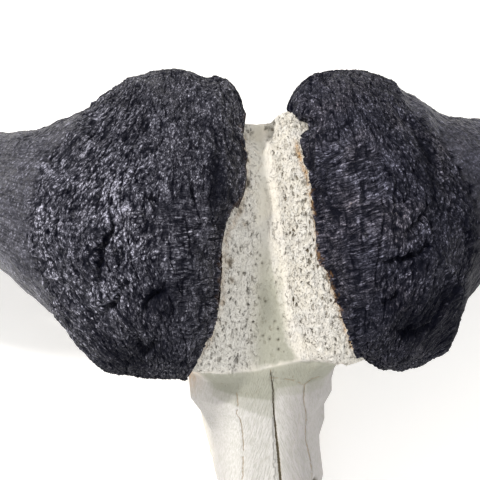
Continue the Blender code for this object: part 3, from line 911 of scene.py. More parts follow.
@dataclass(frozen=True)
class KeratinPattern:
    """The grown and weathered pattern of one boss, worked out alike for its mesh and its finish."""

    fan: float
    band_middle: float
    lean: float
    offset: float
    bar_share: float
    bars_end: float
    band: float = 0.0045
    bar: float = 3.4
    flake: tuple = (2.9, 5.6, 4.4)
    crack: tuple = (14.0, 60.0, 24.0)
    line: tuple = (46.0, 8.0, 30.0)
    growth: tuple = (3.6, 30.0, 20.0)
    chunk: tuple = (8.0, 13.0, 9.0)
    gap: tuple = (6.0, 10.0, 8.0)
    patch: float = 26.0
    wide_bends: tuple = (32.0, 5.0)
    small_bends: tuple = (7.0, 1.6)
    fan_root: float = 50.0
    bars_fade: float = 14.0
    flake_height: float = 1.9
    loose_flake_height: float = 1.3
    chunk_height: float = 0.9
    bar_height: float = 0.8
    growth_height: float = 0.5

    def bands(self, x: Wire | Array, u: Wire | Array, rise: Wire | Array) -> Wire | Array:
        """A distance from the middle edge that follows the boss's growth bands."""
        bow = u - self.band_middle
        return x + bow * bow * rise * self.band

    def surface(self, m: NodeMaker, crown: Wire, rough: Wire, inner: Wire) -> Grown:
        """Works out the fine relief and the cracks.

        Args:
            m: The tree that it is worked out in.
            crown: The place, in crown millimetres.
            rough: Where the horn is crusted, from 0 to 1.
            inner: Where it is barred by fine ridges, from 0 to 1.

        Returns:
            The relief in millimetres, how deep in a crack a point is, and what the finish adds to.
        """
        x, u, w = m.split(crown)
        across = self.bands(x, u, m.ease(x, 60.0, 180.0)) + self.offset
        fanned = u - (x - self.fan_root) * self.fan
        bent = m.warped(m.join(across, fanned, w), *self.wide_bends)
        small = m.warped(bent, *self.small_bends)
        patch = m.patches(bent / self.patch, 0.36, 0.58)
        outer = rough * (1.0 - inner)
        # Thin bars across the inner strip, with a few long cracks over them
        bars = m.cells(bent / (30.0, self.bar, 20.0), "DISTANCE_TO_EDGE")
        bar_rise = m.ease(bars, 0.0, 0.40) - 0.6
        few = m.patches(bent / (11.0, 40.0, 20.0), 0.46, 0.55)
        long_crack = m.cracks(small / self.crack, 0.02, 0.08, 0.9) * few
        some = m.patches(bent / (13.0, 5.0, 9.0), 0.50, 0.60)
        cross_crack = m.ease(bars, 0.02, 0.12, 1.0, 0.0) * some
        lines = m.cracks(bent / self.line, 0.02, 0.07, 0.8) * m.patches(bent / (26.0, 10.0, 20.0), 0.46, 0.54)
        growth = m.swing(bent / self.growth, 2.0, 0.6)
        # Small leaning flakes over the rest
        f, g, h = m.split(small)
        leaned = m.join(f + g * self.lean, g - f * self.lean, h)
        flakes = 0.55 - m.cells(leaned / self.flake) * 1.25
        chunks = m.swing(leaned / self.chunk, 3.0, 0.6)
        gaps = m.cracks(leaned / self.gap, 0.02, 0.12)
        barred = inner * (self.bar_share + patch * (1.0 - self.bar_share))
        barred = barred * m.ease(u, self.bars_end + self.bars_fade, self.bars_end - self.bars_fade)
        relief = outer * (flakes * self.flake_height + chunks * self.chunk_height)
        relief = relief + barred * bar_rise * self.bar_height + inner * growth * self.growth_height
        relief = relief + (inner - barred) * flakes * self.loose_flake_height
        cracks = long_crack * rough + m.math("MAXIMUM", cross_crack, lines) * barred
        crease = m.math("MINIMUM", cracks + gaps * (rough - barred) * patch * 0.55, 1.0)
        return Grown(relief, crease, leaned, bent, barred)


@dataclass(frozen=True)
class HornFinish:
    """Near-black horn: charred and speckled on the boss, glossy and streaked along the shaft. Its colour also
    carries painted glints, sheen and highlights, and painted shade in creases, at turned-away edges and in
    shaded spots.
    """

    keratin: KeratinPattern
    deep: tuple = (0.0022, 0.0028, 0.0088)
    worn: tuple = (0.78, 0.785, 0.98)
    brown: tuple = (0.30, 0.24, 0.22)
    brown_share: float = 0.6
    rim: tuple = (0.50, 0.27, 0.10)
    rim_share: float = 0.35
    chip: tuple = (1.8, 3.0, 2.4)
    dash: tuple = (8.5, 1.9, 5.0)
    plate: tuple = (4.0, 8.5, 6.0)
    satin_share: float = 0.20
    shaft_gloss: float = 0.42
    crest_light: float = 4.3
    shading: float = 0.88
    shining: float = 1.3
    turned_shading: float = 0.7
    turned_dulling: float = 0.9
    speckle_relief: float = 2.0

    def build(self, name: str, effects: SharedEffects) -> bpy.types.Material:
        """Builds the material.

        Args:
            name: The material's name.
            effects: The shared groups.

        Returns:
            The material.
        """
        s = Shader(name, effects)
        crown, rough, inner = s.stored("crown", "Vector"), s.stored("rough"), s.stored("inner")
        fold, edge, shaded = s.stored("fold"), s.stored("edge"), s.stored("shaded")
        grain, shine, turned = s.stored("grain", "Vector"), s.stored("shine"), s.stored("turned")
        grown = self.keratin.surface(s, crown, rough, inner)
        relief, crease = grown.relief, grown.crease
        chips = s.effect(effects.chips, Place=grown.flakes / self.chip, Gap=0.34)
        dashes = s.effect(effects.chips, Place=grown.bars / self.dash, Gap=0.30)
        plates = s.effect(effects.chips, Place=grown.flakes / self.plate, Gap=0.20)
        tone = s.blend(grown.barred, chips, dashes * 0.72) * (0.36 + plates * 1.6)
        patches = s.effect(effects.mottle, Place=crown, Size=30.0, Low=0.35, High=0.7)
        glints = s.effect(effects.mottle, Place=crown + (40.0, 0.0, 0.0), Size=2.6, Low=0.42, High=0.60)
        browned = s.effect(effects.mottle, Place=crown + (70.0, 0.0, 0.0), Size=42.0, Low=0.4, High=0.7)
        grit = s.effect(effects.grain, Place=crown, Stretch=(1.3, 0.8, 1.0), Size=1.5, Roughness=1.0)
        coarse = s.effect(effects.grain, Place=crown + (9.0, 0.0, 0.0), Size=4.0, Roughness=0.7)
        streaks = s.effect(effects.grain, Place=grain, Stretch=(0.05, 1.0, 1.0), Size=1.3, Roughness=0.8)
        # Crests and flakes are painted lighter: partly worn grey keratin, partly painted glints, with the
        # glints mottle as painted sparkle
        crest = s.ease(relief + coarse * 0.9 - 0.6, -1.2, 1.3) * (0.02 + tone * self.crest_light)
        crest = crest * (0.5 + glints * 0.5)
        # Along the shaft: grain streaks lit up as a painted sheen
        grain_and_sheen = s.ease(streaks, 0.5, 0.85) * (0.4 + glints * 0.4 + chips * 1.1) * self.satin_share
        # Painted shade where the horn turns away from view and in the shaded spots; painted highlight in the
        # shiny spots
        light = s.blend(rough, grain_and_sheen, crest) * (0.55 + patches * 0.45) * (1.0 - turned * self.turned_shading)
        light = light * (1.0 - shaded * self.shading) * (0.92 + shine * self.shining)
        # The painted brightness mixes the near-black horn towards a pale blue-grey that stands partly for
        # wear, partly for glints
        colour = s.blend(light, self.deep, self.worn)
        colour = s.blend(browned * self.brown_share * light, colour, self.brown)
        # Painted shade in the folds and cracks
        colour = s.blend(s.ease(fold, -1.5, -5.0) * 0.9, colour, self.deep)
        colour = s.blend(crease * 0.9, colour, self.deep)
        torn = s.effect(effects.mottle, Place=crown, Size=9.0, Low=0.42, High=0.58)
        colour = s.blend(edge * torn * self.rim_share, colour, self.rim)
        s.set("Base Color", colour)
        fine = (grit * 0.9 + coarse * 1.2) * (rough * 0.9 + 0.06) + streaks * (0.6 - rough * 0.5)
        s.bump(relief * 0.8 + fine - crease * 0.9 + tone * rough * self.speckle_relief, 1.0, 1.0)
        s.set("Roughness", 0.38 - glints * 0.12 + shaded * 0.25 + crease * 0.3)
        gloss = s.blend(rough, (self.shaft_gloss,) * 3, 0.10 + light * 0.9)
        s.set("Specular IOR Level", gloss * (1.0 - turned * self.turned_dulling))
        return s.material


@dataclass(frozen=True)
class BonePattern:
    """The spongy relief of the brow's pads, worked out alike for the bone's mesh and its finish."""

    pore: tuple = (1.6, 2.4, 2.0)
    pit: tuple = (3.0, 6.4, 4.4)
    lump: tuple = (4.4, 9.0, 6.5)

    def surface(self, m: NodeMaker, crown: Wire) -> tuple[Wire, Wire]:
        """Works out the relief and the hollows.

        Args:
            m: The tree that it is worked out in.
            crown: The place, in crown millimetres.

        Returns:
            The relief in millimetres, and how deep in a hollow a point is, from 0 to 1.
        """
        bent = m.warped(m.warped(crown, 9.0, 2.0), 3.0, 0.9)
        patch = m.patches(bent / 16.0, 0.36, 0.6)
        pores = m.patches(bent / self.pore, 0.41, 0.31, 2.0, 0.6)
        sponge = m.patches((bent + (9.0, 4.0, 2.0)) / self.pit, 0.42, 0.33, 3.0, 0.62)
        pits = m.math("MAXIMUM", m.dots(bent / self.pit, 0.4, 0.42), sponge * 0.9) * (0.25 + patch * 0.75)
        lumps = m.swing(bent / self.lump, 3.0, 0.65)
        crests = m.ridges(bent / (3.8, 9.0, 5.0), 2.0, 0.6)
        relief = lumps * 1.5 + crests * 1.6 - pits * 2.8 - 0.7
        return relief, m.math("MAXIMUM", pits, pores * 0.75)


@dataclass(frozen=True)
class Sutures:
    """The lines where the bones of the face meet, in crown millimetres."""

    median: Line = (
        (-300, 8), (-261, 6.2), (-240, 5.3), (-223, 4.2), (-199, 2.4), (-167, 0.2), (-150, 0), (-135, -2),
        (0, -4),
    )
    left: Line = (
        (-300, -35), (-257, -34), (-231, -32.5), (-202, -32), (-183, -35), (-178, -38), (-171, -36.5),
        (-150, -38.5),
    )
    right: Line = (
        (-300, 43), (-255, 43), (-243, 42.5), (-225, 39), (-207, 35), (-185, 36), (-172, 33), (-146, 34.5),
    )
    across: Line = ((-14, -141), (2, -142), (16, -144), (27, -148), (33, -151), (40, -147), (56, -146))
    start: float = -300.0
    reach: float = 60.0
    forward: float = 200.0

    def surface(self, m: NodeMaker, crown: Wire, wider: float) -> Wire:
        """Works out the open lines.

        Args:
            m: The tree that it is worked out in.
            crown: The place, in crown millimetres.
            wider: What the lines' half width gains, in millimetres.

        Returns:
            How deep in a line a point is, from 0 to 1.
        """
        x, u, _ = m.split(crown)
        ragged = m.swing(crown / 3.2, 3.0, 0.65) * 1.1
        broken = m.patches(crown / 7.0, 0.34, 0.46)
        opening = m.ease(u, -135.0, -250.0, 0.45, 1.45) + wider
        off = m.math("ABSOLUTE", x + ragged * 0.7 - m.along_line(u, self.median, self.start, 0.0, self.reach))
        made = m.ease(off / opening, 0.6, 1.25, 1.0, 0.0) * m.ease(u, -130.0, -138.0)
        for line, begin in ((self.left, -153.0), (self.right, -148.0)):
            off = m.math("ABSOLUTE", x + ragged - m.along_line(u, line, self.start, 0.0, self.reach))
            fine = m.ease(off, 0.2 + wider, 0.75 + wider, 0.5, 0.0) * m.ease(u, begin, begin - 4.0)
            made = m.math("MAXIMUM", made, fine * broken)
        shifted = tuple((side, back + self.forward) for side, back in self.across)
        line = m.along_line(x, shifted, -self.reach, self.reach, self.reach)
        off = m.math("ABSOLUTE", u + ragged + self.forward - line)
        inside = m.ease(x, -5.0, -2.0) * m.ease(x, 50.0, 56.0, 1.0, 0.0)
        fine = m.ease(off, 0.2 + wider, 0.7 + wider, 0.4, 0.0) * inside
        return m.math("MAXIMUM", made, fine * broken)


@dataclass(frozen=True)
class BoneFinish:
    """Bone whitened by the sun: porous cream pads, a grey-green valley between them, pale grained nasals,
    brown sutures. Its colour also carries painted light: the left boss's shadow on the valley and the brow,
    shade on the face's turned-away sides and in holes, and light on the left pad and on the pads' crests.
    """

    pattern: BonePattern
    sutures: Sutures
    cream: tuple = (0.90, 0.855, 0.76)
    chalk: tuple = (0.735, 0.725, 0.725)
    mauve: tuple = (0.50, 0.475, 0.485)
    grey: tuple = (0.365, 0.37, 0.30)
    brown: tuple = (0.20, 0.15, 0.085)
    tan: tuple = (0.40, 0.31, 0.21)
    bleached: tuple = (0.99, 0.975, 0.925)
    amber: tuple = (0.56, 0.32, 0.11)
    dark: tuple = (0.075, 0.062, 0.036)
    left_bleach: float = 0.6
    crest_bleach: float = 0.8
    channel_grey: float = 0.88
    suture_tan: float = 0.8
    crack_tan: float = 0.45

    def build(self, effects: SharedEffects) -> bpy.types.Material:
        """Builds the material.

        Args:
            effects: The shared groups.

        Returns:
            The material.
        """
        s = Shader("weathered_bone", effects)
        crown, porous, channel = s.stored("crown", "Vector"), s.stored("porous"), s.stored("channel")
        face, amber, cavity = s.stored("face"), s.stored("amber"), s.stored("cavity")
        relief, hollows = self.pattern.surface(s, crown)
        _, u, _ = s.split(crown)
        hollows = hollows * (1.0 - s.stored("left") * 0.5) * (1.0 - s.ease(u, 10.0, 60.0) * 0.25)
        seam = self.sutures.surface(s, crown, 0.0) * s.ease(face, 0.05, 0.35)
        patches = s.effect(effects.mottle, Place=crown, Size=34.0, Low=0.35, High=0.7)
        fine = s.effect(effects.mottle, Place=crown, Size=6.0, Low=0.3, High=0.75)
        colour = s.blend(s.math("MAXIMUM", patches * 0.6, face * 0.85), self.cream, self.chalk)
        feather = s.effect(effects.grain, Place=s.stored("feather", "Vector"), Size=1.3)
        # Painted light: the left pad, lying in the left boss's shadow, is whitened
        colour = s.blend(s.stored("left") * self.left_bleach, colour, self.bleached)
        # Painted shade on the sides of the face that turn away from the light
        colour = s.blend(s.stored("dull"), colour, self.mauve)
        colour = s.blend(fine * (0.08 + porous * 0.08 + face * 0.10), colour, self.grey)
        colour = s.blend(s.ease(feather, 0.75, 0.5) * face * 0.4, colour, self.grey)
        # The channel's own grey-green, with the left boss's painted shadow over it and over the slope below
        # the lip
        colour = s.blend(channel * self.channel_grey, colour, self.grey)
        colour = s.blend(hollows * s.math("MAXIMUM", porous * 0.95, channel * 0.3), colour, self.brown)
        colour = s.blend(s.math("MINIMUM", amber * (0.4 + fine), 1.0), colour, self.amber)
        # Crests of the pads whitened: partly sun-bleaching, partly painted highlight
        colour = s.blend(s.ease(relief, 0.3, 1.6) * porous * self.crest_bleach, colour, self.bleached)
        colour = s.blend(s.ease(seam, 0.05, 0.45) * self.suture_tan, colour, self.tan)
        # Dark open sutures, and painted shade in holes, pits and the nasal cavity
        colour = s.blend(s.math("MAXIMUM", s.ease(seam, 0.55, 0.95) * 0.95, cavity), colour, self.dark)
        s.set("Roughness", 0.70 + fine * 0.12)
        s.set("Specular IOR Level", 0.3)
        grit = s.effect(effects.grain, Place=crown, Size=1.6, Roughness=0.8)
        coarse = s.effect(effects.grain, Place=crown, Size=5.0, Roughness=0.6)
        # Fine weathering cracks where the bone is bare
        bare = (1.0 - porous) * (1.0 - channel)
        few = s.patches(crown / 30.0, 0.48, 0.56)
        split = s.cracks(s.warped(crown, 8.0, 2.5) / (24.0, 60.0, 40.0), 0.006, 0.022)
        split = split * few * bare * (1.0 - face * 0.8)
        colour = s.blend(split * self.crack_tan, colour, self.tan)
        s.set("Base Color", colour)
        height = (relief * 1.4 - hollows * 1.8) * porous + (grit * 1.1 + coarse * 0.5) * (porous + 0.35)
        s.bump(height + feather * 1.7 * face - seam * 1.2 - split * 0.6, 1.0, 1.0)
        return s.material


@dataclass(frozen=True)
class ToothFinish:
    """Stained ivory enamel with dark chewing hollows."""

    enamel: tuple = (0.74, 0.67, 0.52)
    stain: tuple = (0.23, 0.13, 0.06)
    dark: tuple = (0.05, 0.03, 0.02)

    def build(self, effects: SharedEffects) -> bpy.types.Material:
        """Builds the material.

        Args:
            effects: The shared groups.

        Returns:
            The material.
        """
        s = Shader("stained_enamel", effects)
        place = s.place()
        _, _, height = s.split(place)
        patches = s.effect(effects.mottle, Place=place, Size=6.0, Low=0.35, High=0.65)
        stripes = s.effect(effects.grain, Place=place, Stretch=(1.0, 1.0, 0.12), Size=1.8)
        neck = s.ease(height, 9.0, 20.0)
        colour = s.blend(patches * 0.35 + neck * 0.55, self.enamel, self.stain)
        colour = s.blend(s.stored("hollow"), colour, self.dark)
        s.set("Base Color", colour)
        s.set("Roughness", 0.30 + patches * 0.18)
        s.set("Coat Weight", 0.15)
        s.bump(stripes, 0.5, 0.5)
        return s.material


@dataclass(frozen=True)
class FloorFinish:
    """A plain pale studio floor, lit a little from below as a light table is."""

    colour: tuple = (0.95, 0.95, 0.95)
    glow: float = 0.32

    def build(self, effects: SharedEffects) -> bpy.types.Material:
        """Builds the material.

        Args:
            effects: The shared groups.

        Returns:
            The material.
        """
        s = Shader("studio_floor", effects)
        s.set("Base Color", self.colour)
        s.set("Roughness", 0.9)
        s.set("Specular IOR Level", 0.1)
        s.set("Emission Color", self.colour)
        s.set("Emission Strength", self.glow)
        return s.material


# The horns


LEFT_KERATIN = KeratinPattern(
    fan=0.04, band_middle=20.0, lean=0.35, offset=0.0, bar_share=0.35, bars_end=48.0
)
RIGHT_KERATIN = KeratinPattern(
    fan=0.28, band_middle=10.0, lean=0.15, offset=500.0, bar_share=0.8, bars_end=92.0
)
LEFT_HORN = HornFinish(LEFT_KERATIN, brown_share=0.2, rim_share=0.08)
RIGHT_HORN = HornFinish(RIGHT_KERATIN, worn=(0.425, 0.43, 0.60), satin_share=0.32)

# Ribs across the horn from the boss's middle edge to the tip: the centre, half length, thickness above and
# below, how far the ends bend down, how much further the back end drops, and the slant.
HORN_RIBS = (
    (48.0, 9.0, 0.0, 130.0, 9.0, 11.0, 34.0, 20.0, -0.208),
    (58.0, 15.0, -3.0, 145.0, 30.0, 24.0, 36.0, 21.0, -0.165),
    (74.0, 20.0, -8.0, 155.0, 46.0, 36.0, 38.0, 22.0, -0.090),
    (96.0, 22.5, -14.0, 160.0, 60.0, 46.0, 38.0, 23.0, 0.0),
    (122.0, 19.0, -22.0, 160.0, 69.0, 56.0, 34.0, 20.0, 0.0),
    (147.0, 16.0, -30.0, 152.0, 72.0, 62.0, 29.0, 16.0, 0.0),
    (172.0, 14.5, -39.0, 138.0, 70.0, 65.0, 22.0, 12.0, 0.0),
    (197.0, 18.5, -50.0, 119.5, 66.0, 64.0, 15.0, 8.0, 0.0),
    (222.0, 28.0, -63.0, 100.0, 62.0, 61.0, 9.0, 5.0, 0.0),
    (248.0, 41.0, -78.0, 84.0, 58.0, 57.0, 4.0, 2.0, 0.0),
    (275.0, 54.0, -97.0, 70.0, 54.0, 53.0, 1.0, 0.0, 0.0),
    (306.0, 58.0, -122.0, 63.0, 50.5, 49.5, 0.0, 0.0, 0.0),
    (340.0, 60.0, -145.0, 56.0, 47.0, 46.0, 0.0, 0.0, 0.0),
    (376.0, 59.0, -161.0, 50.5, 43.0, 43.0, 0.0, 0.0, 0.0),
    (411.0, 56.0, -165.0, 45.5, 39.5, 39.5, 0.0, 0.0, 0.0),
    (442.0, 53.0, -154.0, 41.0, 36.0, 36.0, 0.0, 0.0, 0.0),
    (465.0, 51.0, -130.0, 37.0, 33.0, 33.0, 0.0, 0.0, 0.0),
    (477.0, 52.0, -97.0, 33.0, 30.0, 30.0, 0.0, 0.0, 0.0),
    (479.0, 58.0, -60.0, 29.0, 27.0, 27.0, 0.0, 0.0, 0.0),
    (472.0, 67.0, -24.0, 25.0, 23.5, 23.5, 0.0, 0.0, 0.0),
    (457.0, 79.0, 9.0, 20.5, 19.5, 19.5, 0.0, 0.0, 0.0),
    (436.0, 91.0, 36.0, 15.0, 14.5, 14.5, 0.0, 0.0, 0.0),
    (416.0, 101.0, 54.0, 9.0, 9.0, 9.0, 0.0, 0.0, 0.0),
    (403.0, 107.0, 63.0, 3.5, 3.5, 3.5, 0.0, 0.0, 0.0),
)
SIDE, BACK, HALF, ABOVE, BELOW, BEND, DROP, SLANT = 0, 1, 3, 4, 5, 6, 7, 8

LEFT_FOLDS = (
    Fold(((150, 30), (159, 11), (166, 3), (169, -16), (170, -38)), 9.0, 3.6),
    Fold(((143, 4), (150, -17), (148, -24)), 6.0, 2.8),
    Fold(((145, -36), (158, -55), (171, -69)), 7.0, 3.4),
    Fold(((106, 81), (113, 66), (116, 47)), 3.4, 2.0),
    Fold(((115, 48), (112, 41)), 6.0, 3.0),
    Fold(((106, -33), (109, -44), (124, -50), (130, -66)), 8.0, 3.8),
    Fold(((139, -80), (135, -98), (129, -105), (114, -90)), 7.0, 4.0),
    Fold(((188, 10), (187, -15), (189, -30)), 5.0, 2.6),
    Fold(((223, -28), (221, -33)), 4.0, 3.0),
    Fold(((203, -31), (201, -38)), 4.5, 3.0),
    Fold(((193, 116), (212, 98), (226, 78)), 3.0, 2.2),
    Fold(((229, 74), (229, 56), (231, 39)), 4.0, 2.4),
    Fold(((235, 2), (231, -18), (231, -29)), 3.6, 2.4),
    Fold(((70, 132), (74, 116), (84, 94), (87, 79)), 3.0, 1.6),
    Fold(((75, 72), (76, 46), (77, 26)), 3.2, 1.4),
    Fold(((82, 9), (73, 14), (60, 19), (44, 18)), 3.6, 1.7),
    Fold(((46, 100), (51, 66), (56, 35), (48, 18)), 4.0, 4.6),
    Fold(((157, 146), (174, 115)), 3.0, 2.4),
    Fold(((133, 92), (133, 72)), -3.6, 10.0),
    Fold(((160, 30), (176, 8), (182, -14)), -4.5, 6.5),
    Fold(((134, 30), (134, 14)), -5.0, 7.0),
    Fold(((146, -26), (150, -34)), -4.5, 6.5),
    Fold(((156, -42), (172, -50)), -4.0, 6.5),
    Fold(((212, 61), (211, 57)), -4.5, 7.0),
    Fold(((128, -4), (124, -14)), -3.2, 8.0),
    Fold(((142, -70), (150, -92)), -3.4, 9.0),
)
RIGHT_FOLDS = (
    Fold(((30, 131), (41, 117), (50, 116)), 6.0, 3.2),
    Fold(((87, 50), (92, 28), (93, -10)), 3.0, 1.4),
    Fold(((79, 48), (94, 52), (109, 55), (128, 67)), 3.4, 1.6),
    Fold(((121, 31), (147, 40)), 3.6, 1.7),
    Fold(((156, 19), (146, 18), (136, 7), (125, 0)), 6.5, 3.0),
    Fold(((126, 0), (102, -9), (72, -14)), 2.8, 1.4),
    Fold(((160, -6), (145, -15), (135, -21), (121, -25), (98, -28)), 8.0, 2.8),
    Fold(((123, -57), (113, -62), (107, -66), (100, -73)), 6.5, 3.2),
    Fold(((132, -92), (136, -97)), 6.0, 9.0),
    Fold(((110, -93), (127, -99), (144, -100), (165, -83)), 6.0, 3.2),
    Fold(((174, -48), (168, -72), (160, -84)), 4.0, 3.4),
    Fold(((199, -42), (201, -73), (200, -104)), 4.5, 3.8),
    Fold(((150, 78), (166, 54), (187, 25), (199, -8), (203, -34)), 4.0, 2.8),
    Fold(((165, 112), (187, 89), (204, 54), (214, 25), (212, -8)), 3.4, 3.0),
    Fold(((131, 133), (151, 109), (166, 71), (180, 44)), 4.5, 5.5),
    Fold(((80, 91), (104, 94)), 2.6, 1.6),
    Fold(((69, 158), (71, 180)), 3.6, 3.0),
    Fold(((62, -30), (60, 30), (50, 84)), 2.0, 2.2),
    Fold(((138, -22), (160, -25), (176, -41), (190, -64)), -4.5, 5.0),
    Fold(((176, 40), (196, 14), (205, -12)), -3.0, 5.0),
    Fold(((150, -58), (140, -76)), -4.5, 8.0),
    Fold(((150, 32), (120, 16), (96, 10)), -2.6, 7.0),
)


@dataclass(frozen=True)
class BossShape:
    """What sets one boss apart from the other: outline, middle edge, crust, and spots of painted shade and
    painted highlight.
    """

    edge_shift: float
    edge_slant: float
    corner_growth: float
    knob_phase: float
    outline: tuple
    edge_wave: Line
    crust_end: float
    crust_step: float
    # Spots of painted shade, and of painted highlight
    shaded: tuple[Spot, ...]
    shiny: tuple[Spot, ...]


LEFT_BOSS = BossShape(
    edge_shift=-4.0,
    edge_slant=-0.035,
    corner_growth=-7.0,
    knob_phase=1.7,
    outline=(
        (44, 3, 3), (52, 5, 3), (58, 9, 3), (66, 9, 2), (71, 2, 0), (79, 3, 0), (95, 1, 2.5), (111, 4, 1.5),
        (126, 0, 3), (141, 0, 5), (154, 0, 4), (168, -2, 0), (189, 3, -4), (198, 0, -5), (212, 1, 4),
        (227, 2, -1), (241, 2, 0), (257, 1, 6), (273, 3, 13), (306, 0, 6), (345, 0, 0),
    ),
    edge_wave=(
        (-128, 4), (-118, 3), (-106, 3), (-95, 6), (-75, 5), (-52, 2), (-31, -1), (-8, -6), (7, -6), (19, -5),
        (25, -3), (31, -3), (38, 3), (44, 7), (53, 8), (69, 7), (86, 5), (100, 1), (109, -2), (118, -6),
        (131, -4), (142, 1), (153, 5), (160, 5),
    ),
    crust_end=238.0,
    crust_step=2.6,
    # spots of painted shade, and of painted highlight
    shaded=(Spot(145, -108, 56, 32), Spot(50, 60, 10, 70), Spot(112, -50, 22, 22)),
    shiny=(Spot(152, 50, 24, 50), Spot(160, -40, 16, 18), Spot(218, 25, 12, 42)),
)
RIGHT_BOSS = BossShape(
    edge_shift=5.0,
    edge_slant=0.012,
    corner_growth=9.0,
    knob_phase=0.0,
    outline=(
        (48, -5, 0), (53, -2, 0), (67, -1, 5), (76, 0, 7), (83, 0, 8), (91, 1, 8), (104, 0, 3), (115, 1, -1),
        (125, 1, -1), (135, 1.5, -6), (145, -2, -5), (158, -4, -5), (172, 1, -5), (186, -6, -11),
        (198, -7, -2), (212, -3, 12), (230, 0, 9), (249, 2, 5), (284, 0, 2), (320, 0, 0),
    ),
    edge_wave=(
        (-135, -2), (-123, -4), (-108, -2), (-94, 0), (-74, -1), (-57, 0), (-42, 1), (-33, 2), (-28, 6),
        (-21, 8), (-2, 4), (21, 1), (44, -1), (62, 0), (80, 2), (96, 0), (106, -4), (113, -13), (119, -18),
        (126, -5), (133, -5), (140, -1), (166, -1),
    ),
    crust_end=216.0,
    crust_step=1.4,
    # spots of painted shade
    shaded=(
        Spot(142, -92, 54, 40),
        Spot(178, -90, 30, 34),
        Spot(215, -30, 26, 90),
        Spot(160, 60, 10, 60),
        Spot(140, -30, 16, 10),
    ),
    # spots of painted highlight
    shiny=(Spot(90, 25, 15, 40), Spot(66, 70, 10, 20)),
)


